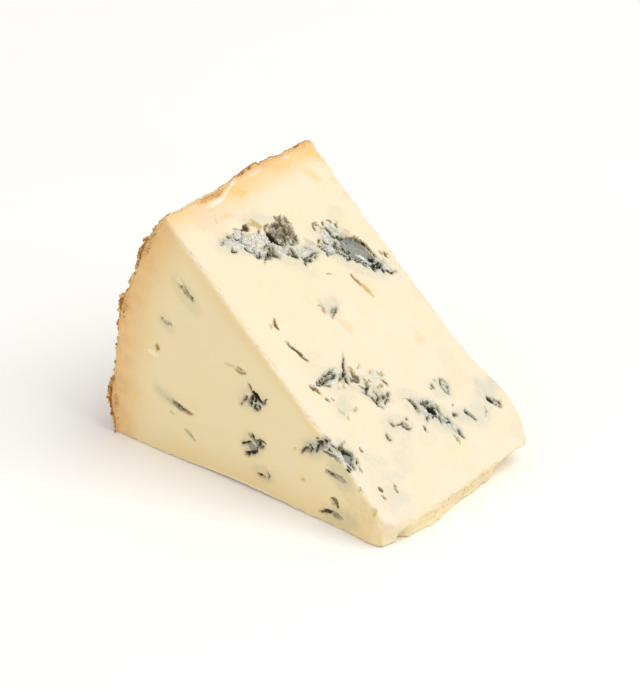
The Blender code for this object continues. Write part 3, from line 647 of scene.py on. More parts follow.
NEAR_VEINS = veins(
    Side.NEAR,
    # Two slits high up by the rind, each a dark line beside a pale one.
    (Growth.HALO, 0.4, (3, (24, 53.6), (30.5, 48)), (2, (19, 41), (21, 39.4))),
    (Growth.GREY, 0.35, (0.8, (25, 52.6), (27.6, 51.2), (29.2, 50.4))),
    (Growth.CREAM, 0.8, (0.5, (24.2, 55), (25.4, 54), (26.4, 53.6)), (0.35, (27.7, 53), (28.8, 51.4)),
     (0.35, (19.8, 41.3), (21.3, 41.2)), (0.3, (20, 40.1), (21.5, 39.6))),
    (Growth.TAUPE, 0.4, (1, (25.6, 52.8), (27.6, 51.4), (29.4, 50.2))),
    (Growth.DARK, 0.85, (0.22, (26.4, 53.6), (27.2, 52.4), (28.2, 51.2), (29.9, 49.8)),
     (0.16, (25.4, 52.6), (26.8, 51.4), (28, 50.6)), (0.18, (18.6, 41), (19.8, 40.2), (20.8, 40)),
     (0.16, (20.2, 40.8), (21.4, 40.4))),
    (Growth.BROWN, 0.55, (0.7, (18.3, 41.4)), (0.3, (24.6, 53.4), (26, 52), (27.4, 51)),
     (0.25, (28.6, 50.9), (29.6, 49.8))),
    # A small yellow hole with a pale chip below it, and a long brown slit with a grey tail.
    (Growth.OCHRE, 0.9, (2, (16.2, 31.2), (16.6, 32.4))),
    (Growth.GOLD, 1, (1.7, (16.1, 31.2), (16.4, 32.2))),
    (Growth.BROWN, 0.45, (0.3, (16.2, 31.4), (16.4, 31.9))),
    (Growth.CREAM, 1, (1.3, (13.2, 30.2), (14.6, 29.7), (16.2, 29.2)), (0.6, (16.6, 30.6), (16.8, 29))),
    (Growth.HALO, 0.75, (1.2, (15.6, 19.4), (18.6, 17.9), (21, 17))),
    (Growth.TAUPE, 0.4, (0.9, (19.4, 17.2), (21.4, 16.8), (22.6, 17.2))),
    (Growth.OCHRE, 1, (1.6, (25.4, 16), (27.9, 15.6))),
    (Growth.TAUPE, 0.75, (2, (21.4, 16.9), (24.8, 15.9))),
    (Growth.BROWN, 0.5, (0.7, (21.6, 16.9), (23.4, 16.6), (25, 15.8)), (0.6, (26.2, 16.2), (27.7, 15.5))),
    (Growth.DARK, 0.75, (0.14, (21.2, 17.8), (22.2, 16.6)), (0.2, (22.5, 17.3), (23.3, 16)),
     (0.26, (23.3, 17), (24.4, 15.8)), (0.2, (24.3, 16.9), (25, 15.7)), (0.14, (22.4, 16.3), (23.2, 15.5)),
     (0.12, (25.2, 16.5), (25.9, 15.4))),
    (Growth.OLIVE, 0.4, (0.7, (20.2, 13.8), (21.4, 13.4))),
    (Growth.TAUPE, 0.5, (0.9, (25.2, 10), (26.8, 9.2), (28.4, 7.8))),
    (Growth.BROWN, 0.2, (0.5, (25.8, 9.6), (27, 8.9), (28.2, 7.9))),
    # A faint slit, and the two stars with a small mark below them.
    (Growth.OCHRE, 0.7, (1.3, (44, 35.2), (47, 34.8)), (0.6, (40.6, 35.5), (43.6, 35.3))),
    (Growth.BROWN, 0.5, (0.4, (44.6, 35.9), (45.8, 35.6)),
     (0.35, (43.6, 34.6), (45, 34.2), (46.6, 34.4), (47.6, 34.8))),
    (Growth.HALO, 0.5, (5, (46.5, 26.5), (51.5, 28.5)), (5, (46.5, 12.5), (51, 15.5)),
     (3, (50, 6.4), (54, 6))),
    (Growth.BLOOM, 0.7, (3.6, (47.8, 26.6), (52, 28)), (3.2, (47.4, 11.8), (51, 15))),
    (Growth.GREY, 1, (2.8, (48, 27), (50, 27)), (1, (45.6, 25.6), (47.4, 28)),
     (1.6, (50.6, 26.6), (51.4, 25.6)), (2.4, (47.6, 13.6), (49.6, 12.6)), (1.4, (49.4, 15), (51.6, 15.4))),
    (Growth.DARK, 1, (1.9, (50.4, 29.2)), (1.5, (51.1, 28.5)), (1, (52, 28.1)),
     (0.9, (49.3, 30.4), (50.4, 29.6)), (0.8, (50.2, 28.6), (49.9, 27)), (0.8, (48.7, 17), (49.3, 15.6)),
     (1.4, (46.9, 10.5)), (0.8, (47.2, 11), (48.6, 11.3), (49.7, 12.4))),
    (Growth.DARK, 0.9, (0.45, (47.4, 28.4), (46.4, 26.7), (45, 25)),
     (0.8, (49.2, 29), (48.5, 27.2), (48.5, 25.8)), (0.7, (50, 27), (49.8, 25.6), (50.8, 25.1)),
     (0.5, (51.4, 26.9), (51.3, 25.5)), (0.6, (50.2, 15.7), (51.4, 16.1), (53.2, 16.1)),
     (0.7, (44.9, 12.9), (46.4, 13.6), (48, 14.6)), (0.7, (50.1, 12.8), (50.6, 14.4), (51.7, 15.4)),
     (0.4, (51.3, 13.8), (52.4, 15)), (0.45, (47.7, 17), (48.4, 16)), (0.7, (50.2, 5.8), (52.4, 5.7)),
     (0.35, (53.7, 7.5), (54.2, 6.5), (53.6, 5.6)), (0.6, (48.3, 32), (48.6, 31), (49, 30.2))),
    (Growth.BROWN, 0.75, (0.7, (52.6, 27.9), (53.6, 28.6), (54.5, 29.8)), (0.6, (46, 10.4), (47, 9.8))),
    (Growth.FLUFF, 0.7, (0.45, (51.2, 28), (52, 27.4)), (0.5, (50.4, 26.8), (50.8, 25.8)),
     (0.5, (48.6, 14.8), (49.4, 14)), (0.4, (49.3, 27.6), (49.3, 26))),
    # Marks towards the tip, and the near half of the cluster that crosses the edge.
    (Growth.OCHRE, 0.2, (7, (82, 6), (93, 3)), (5, (80, 12), (92, 6))),
    (Growth.HALO, 0.6, (3.5, (74, 3.4), (83, 4)), (2.6, (76, 15.4), (81, 14)), (4, (67, 19.6), (74, 23.6)),
     (3, (76, 18), (81, 16))),
    (Growth.PEACH, 1, (1.6, (66.2, 10.4))),
    (Growth.PEACH, 0.6, (0.8, (6, 12.6), (9, 16))),
    (Growth.OCHRE, 0.6, (0.9, (65.6, 10.2), (66.4, 10.4)), (0.7, (63.4, 18.5))),
    (Growth.OCHRE, 1, (1.1, (89.2, 10.6), (90, 9.6), (90.5, 8.6))),
    (Growth.OLIVE, 0.8, (0.5, (89.4, 10.4), (90.2, 9))),
    (Growth.TAUPE, 0.65, (1.3, (75.6, 15.6), (78, 15.2), (80.4, 14.6)), (1.6, (76, 3.8), (79, 3.6))),
    (Growth.GREY, 0.6, (1.2, (76, 3.9), (78, 3.6))),
    (Growth.BROWN, 0.8, (1.1, (75.6, 8.4), (76.8, 8), (77.8, 6.3)), (0.6, (73.4, 15.2), (74.6, 15.9)),
     (0.25, (75, 15.5), (76.6, 15.2)), (0.6, (65.9, 18.2), (66.6, 19.4), (67.4, 20.4)),
     (0.4, (73, 21.5), (75, 21.1), (76.6, 20.6)), (0.6, (71, 24.4))),
    (Growth.DARK, 0.9, (0.8, (71.6, 2.7), (73, 3.5), (75.5, 4.1)), (0.9, (73.6, 3.5)),
     (0.7, (73.8, 15.8), (75.2, 15.6), (76, 15.3)), (0.6, (68.3, 21.6), (68.9, 20.4), (68.6, 19.3)),
     (0.6, (70.2, 20), (70.8, 21.6), (71.4, 22.6)), (1.2, (71.8, 23.2)), (0.6, (71.9, 23.4), (72.8, 24.2)),
     (1.2, (73.8, 24.6)), (0.7, (73.6, 25), (74.6, 24.1)), (0.4, (74.4, 22.6), (75.4, 22)),
     (0.4, (66.8, 20.6), (67.8, 20)), (0.3, (67.2, 20.8), (66, 18.6))),
    (Growth.OLIVE, 0.6, (0.8, (84.6, 14), (85.2, 15.2)), (0.7, (75.2, 7.6), (76.4, 6.8))),
    (Growth.BLOOM, 0.95, (3.2, (67.8, 20.2), (73.4, 24)), (3, (73.2, 23.2), (79, 20.6))),
    (Growth.GREY, 1, (2.2, (70.2, 21.6), (73.4, 23.4)), (1.4, (67.4, 19.6), (69, 20.6)),
     (0.7, (73, 21.4), (76.4, 20.7), (79, 19.7))),
    (Growth.FLUFF, 0.9, (1, (69.6, 21.6), (71, 22.8)), (0.9, (73.6, 23), (75.6, 22.6)),
     (1.2, (75.8, 22.4), (78.4, 21.4)), (0.6, (70.2, 19.8), (70.6, 20.8))),
)


def star(rng: np.random.Generator, side: Side, middle: Array, size: float) -> list[Vein]:
    """A made-up cluster in the style of the others: a grey bed, dark strokes and an olive fringe.

    Args:
        rng: Source of its random draws.
        side: The side that it is on.
        middle: Its middle, as a pair in millimetres.
        size: Half its length.

    Returns:
        Its veins.
    """
    heading = rng.uniform(0, math.tau)
    long_way = np.array([math.cos(heading), math.sin(heading)])
    wide_way = long_way[::-1] * [-1, 1]

    def spot(reach: float) -> Array:
        """A random place in the cluster's oval."""
        return middle + size * reach * (rng.uniform(-1, 1) * long_way + 0.5 * rng.uniform(-1, 1) * wide_way)

    def stroke(length: float, width: float) -> tuple:
        """A random crooked stroke.

        Args:
            length: Its length.
            width: Its width.

        Returns:
            Its width and its three points.
        """
        start = spot(0.9)
        turn = heading + rng.normal(0, 0.7)
        step = length * np.array([math.cos(turn), math.sin(turn)])
        bow = 0.3 * length * rng.uniform(-1, 1) * wide_way
        return (width, tuple(start), tuple(start + 0.5 * step + bow), tuple(start + step))

    bed = tuple(middle - 0.6 * size * long_way), tuple(middle + 0.6 * size * long_way)
    dark = [stroke(rng.uniform(0.8, 2.6), rng.uniform(0.35, 0.9)) for _ in range(round(3.2 * size))]
    olive = [stroke(rng.uniform(0.4, 1.4), rng.uniform(0.4, 0.8)) for _ in range(round(size))]
    white = [(rng.uniform(0.7, 1.5), tuple(spot(0.7))) for _ in range(round(0.8 * size))]
    return veins(
        side,
        (Growth.HALO, 0.6, (1.3 * size, *bed)),
        (Growth.GREY, 0.85, (0.45 * size, *bed)),
        (Growth.FLUFF, 0.8, *white),
        (Growth.DARK, 0.9, *dark),
        (Growth.OLIVE, 0.7, *olive),
    )


# Middles and half lengths of the made-up clusters, in millimetres.
HIDDEN_STARS = {
    Side.FAR: ((22, 46, 3.6), (36, 20, 4.4), (41, 33, 3), (58, 24, 3.6), (60, 8, 3.2), (74, 12, 2.6),
               (14, 22, 2.4)),
    Side.LOWER: ((16, 14, 3.4), (30, 36, 4.6), (47, 14, 3.8), (52, 46, 3.2), (66, 28, 4.2), (80, 44, 3),
                 (78, 10, 2.6)),
}
SLITS_ON_A_SIDE = 9


def hidden_veins(seed: int) -> list[Vein]:
    """Veins on the far side and the lower cut, which carry on the style of the other sides.

    Args:
        seed: Number that fixes them.

    Returns:
        The veins.
    """
    rng = np.random.default_rng(seed)
    found: list[Vein] = []
    for side, stars in HIDDEN_STARS.items():
        for first, second, size in stars:
            found += star(rng, side, np.array([first, second], dtype=float), size)
        for _ in range(SLITS_ON_A_SIDE):
            start = np.array([rng.uniform(12, 78), rng.uniform(6, 16 if side is Side.FAR else 52)])
            step = rng.uniform(1.5, 4.5) * np.array([1, rng.normal(0, 0.35)])
            growth = rng.choice([Growth.BROWN, Growth.DARK, Growth.OLIVE])
            slit = (rng.uniform(0.4, 0.8), tuple(start), tuple(start + step))
            found += veins(side, (growth, 0.7, slit))
    return found


class VeinField:
    """All the veins in space, and how near each place of a surface is to each kind."""

    nowhere = -9.0
    taper = 0.45
    fade_share = 1.2
    crease_width = 0.17
    deepest = 1.8

    def __init__(self, form: WedgeForm, marks: Sequence[Vein], noise: Noise3) -> None:
        """Carry the veins from their sides into space.

        Args:
            form: The wedge that they are drawn on.
            marks: The veins.
            noise: Noise that makes their edges crooked.
        """
        self.marks = [(mark, form.on_side(mark.side, mark.path)) for mark in marks]
        self.noise = noise
        self.stains = {stain.growth: stain for stain in STAINS}

    @staticmethod
    def inside(points: Array, path: Array, half: float) -> Array:
        """How deep each point is in a stroke: its half width there less the way to its middle line.

        The half width falls by the taper towards both ends, as 1 - taper (2u - 1)^2 over the length.

        Args:
            points: Places, (n, 3).
            path: The stroke's points, (m, 3).
            half: Its half width at the middle.

        Returns:
            Depths in millimetres, below 0 outside, (n,).
        """
        if len(path) == 1:
            return half - np.linalg.norm(points - path[0], axis=1)
        steps = np.diff(path, axis=0)
        lengths = np.linalg.norm(steps, axis=1)
        best = np.full(len(points), VeinField.nowhere)
        for start, step, length, before in zip(path, steps, lengths, np.cumsum(lengths) - lengths):
            share = np.clip((points - start) @ step / length**2, 0, 1)
            away = np.linalg.norm(points - start - share[:, None] * step, axis=1)
            way = (before + share * length) / lengths.sum()
            best = np.maximum(best, half * (1 - VeinField.taper * (2 * way - 1) ** 2) - away)
        return best

    def nearness(self, points: Array) -> Field:
        """How deep each place is in each kind of mark, with crooked edges.

        A mark of strength s is cut off at soft (2s - 1), where its cover is s.

        Args:
            points: Places, (n, 3).

        Returns:
            Depths in millimetres for each kind, (n,).
        """
        crooked = points + 0.42 * self.noise.drift(points, 1.9) + 0.2 * self.noise.drift(points, 0.7)
        fields = {growth: np.full(len(points), self.nowhere) for growth in Growth}
        for mark, path in self.marks:
            stain = self.stains[mark.growth]
            half = (mark.width + stain.wider) / 2
            reach = half + 1.6 + self.fade_share * stain.soft
            near = ((crooked > path.min(axis=0) - reach) & (crooked < path.max(axis=0) + reach)).all(axis=1)
            chosen = np.flatnonzero(near)
            if chosen.size:
                depth = self.inside(crooked[chosen], path, half)
                if mark.strength < 1:
                    depth = np.minimum(depth, stain.soft * (2 * mark.strength - 1))
                fields[mark.growth][chosen] = np.maximum(fields[mark.growth][chosen], depth)
        return fields

    # These lines are sunk in the relief, and the paste finish also darkens them as painted shade.
    def creases(self, points: Array) -> Array:
        """Thin crooked lines between the mould's lumps: where either of two noises passes through 0.

        Args:
            points: Places, (n, 3).

        Returns:
            1 on a line and 0 away from it, (n,).
        """
        moved = points + 0.35 * self.noise.drift(points, 0.9)
        wide = fall(np.abs(self.noise.at(moved, 2.1, 2.2)), 0, self.crease_width)
        narrow = fall(np.abs(self.noise.at(moved, 1.2, 6.1)), 0, self.crease_width)
        return np.maximum(wide, 0.8 * narrow)

    def relief(self, fields: Field, points: Array) -> Array:
        """Height of the marks' own surface: each is sunk by its depth and has its own bumps.

        Args:
            fields: What nearness gives for the places.
            points: The places, (n, 3).

        Returns:
            Heights in millimetres, (n,).
        """
        bumps = 0.45 + 0.8 * self.noise.at(points, 0.8, 3.1) - 0.6 * self.creases(points)
        height = np.zeros(len(points))
        for stain in STAINS:
            fade = self.fade_share * stain.soft
            cover = ramp(fields[stain.growth], -fade, fade)
            height = np.minimum(height, 0) * (1 - 0.5 * cover)
            height += cover * (stain.lumps * bumps - stain.depth)
        return np.maximum(height, -self.deepest)


# ---- Surfaces ----


@dataclass
class QuadNet:
    """Faces of a bent box: shares of its vertices, and for each face corner its vertex and side."""

    shares: Array
    corners: Array
    totals: Array
    sides: Array


@dataclass(frozen=True)
class QuadBox:
    """A closed box of quads, with finer quads where they are wanted.

    A wanted quad becomes finer x finer small quads. A plain quad beside it takes the small quads'
    corners into its own outline, so that the box stays closed. It knows them by one corner inside
    each of its edges, which is in a wanted quad's outline only where the two share that edge.
    """

    rows: tuple[Array, Array, Array]
    finer: int = 4

    def fine_rows(self) -> list[Array]:
        """The rows with finer equal steps in each of their gaps."""
        return [np.interp(np.arange(self.finer * (len(row) - 1) + 1) / self.finer, np.arange(len(row)), row)
                for row in self.rows]

    def build(self, wanted: Callable[[Side, Array], Array]) -> QuadNet:
        """Lay out the quads.

        Args:
            wanted: Says for a side and its quads' middles, (n, 3) shares, which are made finer.

        Returns:
            The box's faces.
        """
        fine = self.fine_rows()
        counts = [len(row) for row in fine]
        strides = np.array([counts[1] * counts[2], counts[2], 1])
        step = np.arange(self.finer)
        still, full = np.zeros_like(step), np.full_like(step, self.finer)
        ring = np.concatenate([np.stack(pair, axis=1) for pair in
                               ((step, still), (full, step), (full - step, full), (still, full - step))])
        small = np.array([[(u, v), (u + 1, v), (u + 1, v + 1), (u, v + 1)] for u in step for v in step])
        middles = np.arange(4) * self.finer + self.finer // 2
        rings, chosen, fines = [], [], []
        for side in Side:
            fixed, end, u_axis, v_axis = side.value
            cells = (np.arange(len(self.rows[axis]) - 1) for axis in (u_axis, v_axis))
            u_cell, v_cell = np.meshgrid(*cells, indexing="ij")
            low = np.zeros((u_cell.size, 3), dtype=int)
            low[:, u_axis] = u_cell.ravel() * self.finer
            low[:, v_axis] = v_cell.ravel() * self.finer
            low[:, fixed] = end * (counts[fixed] - 1)
            spots = low.copy()
            spots[:, [u_axis, v_axis]] += self.finer // 2
            fine_here = wanted(side, np.stack([row[spots[:, axis]] for axis, row in enumerate(fine)], axis=1))
            ways = np.zeros((2, 3), dtype=int)
            ways[0, u_axis] = ways[1, v_axis] = 1
            rings.append((low[:, None, :] + ring @ ways) @ strides)
            chosen.append(fine_here)
            fines.append(((low[fine_here][:, None, None, :] + small @ ways) @ strides).reshape(-1, 4))
        ring_codes, picked = np.concatenate(rings), np.concatenate(chosen)
        numbers = np.repeat(np.arange(6), [len(codes) for codes in rings])
        plain = ring_codes[~picked]
        keep = np.repeat(np.isin(plain[:, middles], ring_codes[picked]), self.finer, axis=1)
        keep[:, :: self.finer] = True
        fine_codes = np.concatenate(fines)
        codes = np.concatenate([plain[keep], fine_codes.ravel()])
        totals = np.concatenate([keep.sum(axis=1), np.full(len(fine_codes), 4)])
        fine_sides = np.repeat(np.arange(6), [len(part) for part in fines])
        face_sides = np.concatenate([numbers[~picked], fine_sides])
        used, corners = np.unique(codes, return_inverse=True)
        places = np.stack([used // strides[0], used % strides[0] // strides[1], used % strides[1]], axis=1)
        shares = np.stack([row[places[:, axis]] for axis, row in enumerate(fine)], axis=1)
        return QuadNet(shares, corners, totals, np.repeat(face_sides, totals))


def stations(quads: int, length: float, rim: float) -> Array:
    """Shares of a side where its quads meet, with close rows at each end for the rounded edge.

    Args:
        quads: How many quads there are along the side.
        length: Its length.
        rim: Width of the rounded edge.

    Returns:
        Shares from 0 to 1.
    """
    edge = rim / length
    even = np.linspace(edge, 1 - edge, quads - 3)
    return np.concatenate([[0, 0.4 * edge], even, [1 - 0.4 * edge, 1]])


def make_object(name: str, places: Array, net: QuadNet, sheet: Array) -> bpy.types.Object:
    """Make a mesh piece from a box's faces.

    Args:
        name: Name of the piece.
        places: Its vertices in millimetres, (n, 3).
        net: Its faces.
        sheet: Where each face corner lies on its flat map, from 0 to 1, (corners, 2).

    Returns:
        The piece, at the origin of the frame.
    """
    mesh = bpy.data.meshes.new(name)
    mesh.vertices.add(len(places))
    mesh.vertices.foreach_set("co", FORM.in_frame(places).ravel())
    mesh.loops.add(len(net.corners))
    mesh.loops.foreach_set("vertex_index", net.corners.astype(np.int32))
    mesh.polygons.add(len(net.totals))
    mesh.polygons.foreach_set("loop_start", (np.cumsum(net.totals) - net.totals).astype(np.int32))
    mesh.update(calc_edges=True)
    mesh.uv_layers.new(name="OFBake").data.foreach_set("uv", sheet.ravel())
    mesh.shade_smooth()
    return link(name, mesh)


def link(name: str, mesh: bpy.types.Mesh) -> bpy.types.Object:
    """Put a mesh into the scene.

    Args:
        name: Name of its object.
        mesh: The mesh.

    Returns:
        The object.
    """
    piece = bpy.data.objects.new(name, mesh)
    bpy.context.scene.collection.objects.link(piece)
    return piece


def set_field(mesh: bpy.types.Mesh, name: str, values: Array) -> None:
    """Keep one number for each vertex, for the materials to read."""
    mesh.attributes.new(name, "FLOAT", "POINT").data.foreach_set("value", values.astype(np.float32))


def vertex_normals(mesh: bpy.types.Mesh) -> Array:
    """Outward directions at a mesh's vertices.

    Args:
        mesh: The mesh.

    Returns:
        Directions, (n, 3).
    """
    flat = np.empty(len(mesh.vertices) * 3, dtype=np.float32)
    mesh.vertex_normals.foreach_get("vector", flat)
    return flat.reshape(-1, 3).astype(float)


def rounded(point: Array, size: Array, radius: Array) -> tuple[Array, Array]:
    """Round a box's edges: each point is pulled a radius inside, then pushed out by the radius.

    Args:
        point: Places in the box, (n, 3).
        size: The box's sides there, (n, 3).
        radius: Radius of its edges there, (n,).

    Returns:
        The rounded places and the outward directions, both (n, 3).
    """
    reach = np.minimum(radius[:, None], size / 2)
    inner = np.clip(point, reach, size - reach)
    outward = (point - inner) / reach
    outward /= np.maximum(np.linalg.norm(outward, axis=1, keepdims=True), 1e-9)
    return inner + outward * reach, outward


def lay_flat(net: QuadNet, flat: dict[Side, tuple[Array, Array]], size: float) -> Array:
    """Lay the sides of a box side by side on a square sheet.

    Args:
        net: The box's faces.
        flat: For each side, where the face corners lie on the sheet in millimetres.
        size: Side of the sheet.

    Returns:
        Sheet places of the face corners from 0 to 1, (corners, 2).
    """
    sheet = np.zeros((len(net.corners), 2))
    for number, side in enumerate(Side):
        here = net.sides == number
        sheet[here] = np.stack(flat[side], axis=1)[here]
    return sheet / size


@dataclass(frozen=True)
class Ground:
    """A piece's surface before its relief, with one row for each vertex.

    base is its places on the plain form in millimetres, outward its directions in the box, and
    shares its shares of the box's sides.
    """

    form: WedgeForm
    base: Array
    outward: Array
    shares: Array

    def facing(self, side: Side) -> Array:
        """How much each place faces a side: the square of its outward part that way."""
        axis, end = side.value[:2]
        return np.maximum((2 * end - 1) * self.outward[:, axis], 0) ** 2

    def joined(self, other: "Ground") -> "Ground":
        """This surface's places, then the other's."""
        pairs = ((self.base, other.base), (self.outward, other.outward), (self.shares, other.shares))
        return Ground(self.form, *(np.concatenate(pair) for pair in pairs))

    def inward(self) -> Array:
        """How far each place is from the rind."""
        return self.shares[:, 0] * self.form.upper_cut

    def far(self) -> Array:
        """How far each place is from the near side."""
        return self.shares[:, 2] * self.form.width


# ---- The paste ----


@dataclass(frozen=True)
class Lump:
    """A lump of the rind: its middle as shares of the way up and across, its spread and height."""

    turn: float
    across: float
    spread: float
    height: float

    def near(self, form: WedgeForm, base: Array, spread: float) -> Array:
        """A bell of the spread given, round the lump's middle."""
        middle = form.bend(np.array([[0, self.turn, self.across]]))
        return swell(np.linalg.norm(base - middle, axis=1), 0, spread)


RIND_LUMPS = (
    Lump(0.13, 0.00, 6, 1.7),
    Lump(0.54, 0.01, 5.5, 1),
    Lump(0.82, 0.01, 4.5, 1.1),
    Lump(0.98, 0.62, 12, 1.5),
    Lump(0.99, 0.92, 6, 0.9),
    Lump(0.76, 0.34, 8.5, 1),
    Lump(0.38, 0.48, 9, 1.1),
    Lump(0.14, 0.72, 8, 1.2),
    Lump(0.62, 0.82, 9.5, 1),
)


def rind_swell(form: WedgeForm, base: Array, noise: Noise3) -> Array:
    """How far the rind's lumps and roughness stand out, which its crust and the paste share.

    Args:
        form: The wedge.
        base: Places on the plain form, (n, 3).
        noise: Noise of the roughness.

    Returns:
        Heights in millimetres, (n,).
    """
    height = 0.7 * (0.2 + 0.5 * noise.at(base, 8) + 0.5 * noise.at(base, 4.2, 5))
    for lump in RIND_LUMPS:
        height += lump.height * lump.near(form, base, lump.spread)
    return height


def near_clumps(form: WedgeForm, base: Array, spread: float) -> Array:
    """How near each place is to the rind's lumps at the near edge, from 0 to 1.

    Args:
        form: The wedge.
        base: Places on the plain form, (n, 3).
        spread: How far a lump's crumbs reach.

    Returns:
        Shares, (n,).
    """
    return np.max([lump.near(form, base, spread) for lump in RIND_LUMPS if lump.across < 0.05], axis=0)


@dataclass
class PasteBody:
    """The whole wedge of paste: one closed surface whose quads are finer where the veins open.

    Lengths are in millimetres.
    """

    form: WedgeForm
    field: VeinField
    noise: Noise3
    quads: tuple[int, int, int] = (110, 62, 100)
    finer: int = 3
    rise: float = 70.0
    rind_gap: float = 0.3
    edge_radius: float = 0.85
    tip_corner_radius: float = 1.9
    near_edge_more: float = 0.5
    far_corner_more: float = 1.6
    detail_margin: float = 0.6
    edge_rows: tuple[float, float] = (0.03, 0.015)
    sheet_size: float = 212.0
    chamfer_depth: float = 2.1
    chamfer_width: float = 4.4
    notch_depth: float = 1.8
    far_undercut: float = 3.0
    far_corner: float = 0.6
    foot_hollow: float = 0.7
    line_width: float = 0.5
    line_more: float = 0.55

    def layout(self, shares: Array) -> tuple[Array, Array, Ground]:
        """Round the box of paste, which starts under the crust.

        Its edges are sharper where they meet the rind, and rounder at the tip's two upper corners
        and along the near edge of the upper cut.

        Args:
            shares: Shares of the box's sides, (n, 3).

        Returns:
            Places in the box, its sides there, and the plain surface.
        """
        size = self.form.box_size(shares, np.full(len(shares), self.form.lower_cut - self.rind_gap))
        along, turn, across = shares.T
        near_corner = fall(across, 0.02, 0.09)
        worn = ramp(along, 0.94, 1) * near_corner * (0.35 + 0.65 * ramp(turn, 0.2, 0.8))
        near_edge = self.near_edge_more * ramp(turn, 0.5, 0.8) * fall(across, 0.1, 0.3)
        radius = self.edge_radius * (0.2 + 0.8 * ramp(along, 0, 0.02))
        radius += (self.tip_corner_radius - self.edge_radius) * worn
        radius += self.far_corner_more * ramp(along, 0.93, 0.98) * ramp(across, 0.9, 0.96)
        radius += near_edge * ramp(along, 0.03, 0.1)
        point, outward = rounded(shares * size, size, radius)
        base = self.form.bend_box(point, size, self.rind_gap)
        return point, size, Ground(self.form, base, outward, shares)

    def height(self, ground: Ground, fields: Field) -> Array:
        """How far the surface stands out from the plain form.

        The tip is crumbly, the cuts and the outer sides wave a little, and their shared edges are
        worn and nicked. Broad swells and hollows follow, then the crust that has spread over the
        paste, and the veins' own relief.

        Args:
            ground: The plain surface.
            fields: The veins there.

        Returns:
            Heights in millimetres, (n,).
        """
        base, noise = ground.base, self.noise
        along, turn, _ = ground.shares.T
        on_rind, on_tip = ground.facing(Side.RIND), ground.facing(Side.TIP)
        on_near, on_far = ground.facing(Side.NEAR), ground.facing(Side.FAR)
        on_cuts = ground.outward[:, 1] ** 2
        crumble = noise.at(base, 7) + 0.6 * noise.at(base, 3.2) + 0.4 * noise.at(base, 1.5)
        flat_pits = ramp(noise.at(base * [1, 1, 2.2], 2.4, 8), 0.2, 0.5)
        crumble += 0.22 * noise.at(base, 0.8) - 0.5 * flat_pits
        crumble *= 0.55 * (0.3 + 0.7 * ramp(ground.far(), 2.5, 6))
        wave = 0.3 * noise.at(base, 22) + 0.05 * noise.at(base, 4) + 0.03 * noise.at(base, 1.4)
        height = on_rind * (rind_swell(self.form, base, noise) - 0.1) + on_tip * crumble
        height += (on_cuts + on_near + on_far) * wave
        edge = 4 * on_cuts * (on_near + on_far + on_tip)
        nicks = ramp(noise.at(base, 2.2, 27), 0.25, 0.6)
        wear = noise.at(base, 5, 23) + 0.8 * noise.at(base, 2, 24) + 0.5 * noise.at(base, 0.8, 25)
        height += edge * (0.32 * wear - 0.5 * nicks)
        height += on_far * 2.6 * swell(along, 0.86, 0.11) * ramp(turn, 0, 0.8)
        height -= on_far * 0.8 * ramp(along, 0.94, 1)
        height += on_near * 0.8 * swell(along, 0.95, 0.07)
        height -= on_near * 0.8 * swell(along, 0.47, 0.19) * (1 - turn) ** 2
        height += self.crust_cover(ground) * (0.12 + 0.25 * noise.at(base, 0.9, 6))
        return height + (1 - on_rind) * self.field.relief(fields, base)

    def crust_cover(self, ground: Ground) -> Array:
        """How much the crust has spread over the paste beside it.

        On the upper cut it is a strip that widens from nothing to 2 mm towards the near side. On
        the outer sides it is a thin patchy line, wider beside the rind's lumps.

        Args:
            ground: The plain surface.

        Returns:
            Shares from 0 to 1, (n,).
        """
        base, noise = ground.base, self.noise
        inward, far = ground.inward(), ground.far()
        upper_cut = ground.outward[:, 1] ** 2 * ramp(ground.shares[:, 1], 0.9, 1)
        outer_side = ground.outward[:, 2] ** 2
        rag = 0.35 * noise.at(base, 1.6, 51) + 0.2 * noise.at(base, 0.7, 52)
        strip = fall(inward + 0.7 * rag - self.line_place(far) + 1, -0.6, 0.6)
        strip *= ramp(far, 10, 15) * fall(far, 24, 27.5)
        thin = 0.6 * fall(inward + rag, 0.2, 0.7) * ramp(noise.at(base, 4, 53), -0.4, 0.3)
        clumps = near_clumps(self.form, base, 4)
        reach = 0.35 + 0.75 * clumps * (1 + 1.5 * noise.at(base, 1.7, 54))
        line = np.maximum(thin, clumps * fall(inward + rag, reach, reach + 0.35))
        return np.clip(upper_cut * np.maximum(strip, 0.7 * thin) + 0.7 * outer_side * line, 0, 1)

    @staticmethod
    def line_place(far: Array) -> Array:
        """How far from the rind the chalky line on the upper cut runs, at a distance from the near side."""
        return 2.55 * fall(far, 18.5, 27)

    def set_back(self, ground: Ground) -> Array:
        """How far the broken tip stands back: a chamfer at its near corner and hollows under its lip.

        The chamfer falls off smoothly over its width. One hollow is a swelling beside the chamfer
        and the other is at the far end, where the upper corner stands out a little.

        Args:
            ground: The plain surface.

        Returns:
            Lengths in millimetres, (n,).
        """
        along, turn, _ = ground.shares.T
        far = ground.far()
        crooked = far + 0.5 * self.noise.at(ground.base, 1.6, 21)
        chamfer = self.chamfer_depth * fall(crooked, 0.2, self.chamfer_width)
        chamfer *= 0.55 + 0.45 * ramp(turn, 0, 0.7)
        notch = self.notch_depth * swell(far, 6, 1.5) * fall(turn, 0.45, 0.95)
        notch += self.far_undercut * ramp(far, 46.5, 50) * fall(turn, 0.35, 0.8)
        notch -= self.far_corner * ramp(far, 52, 57.5)
        return ramp(along, 0.9, 1) * chamfer + ramp(along, 0.95, 1) * notch

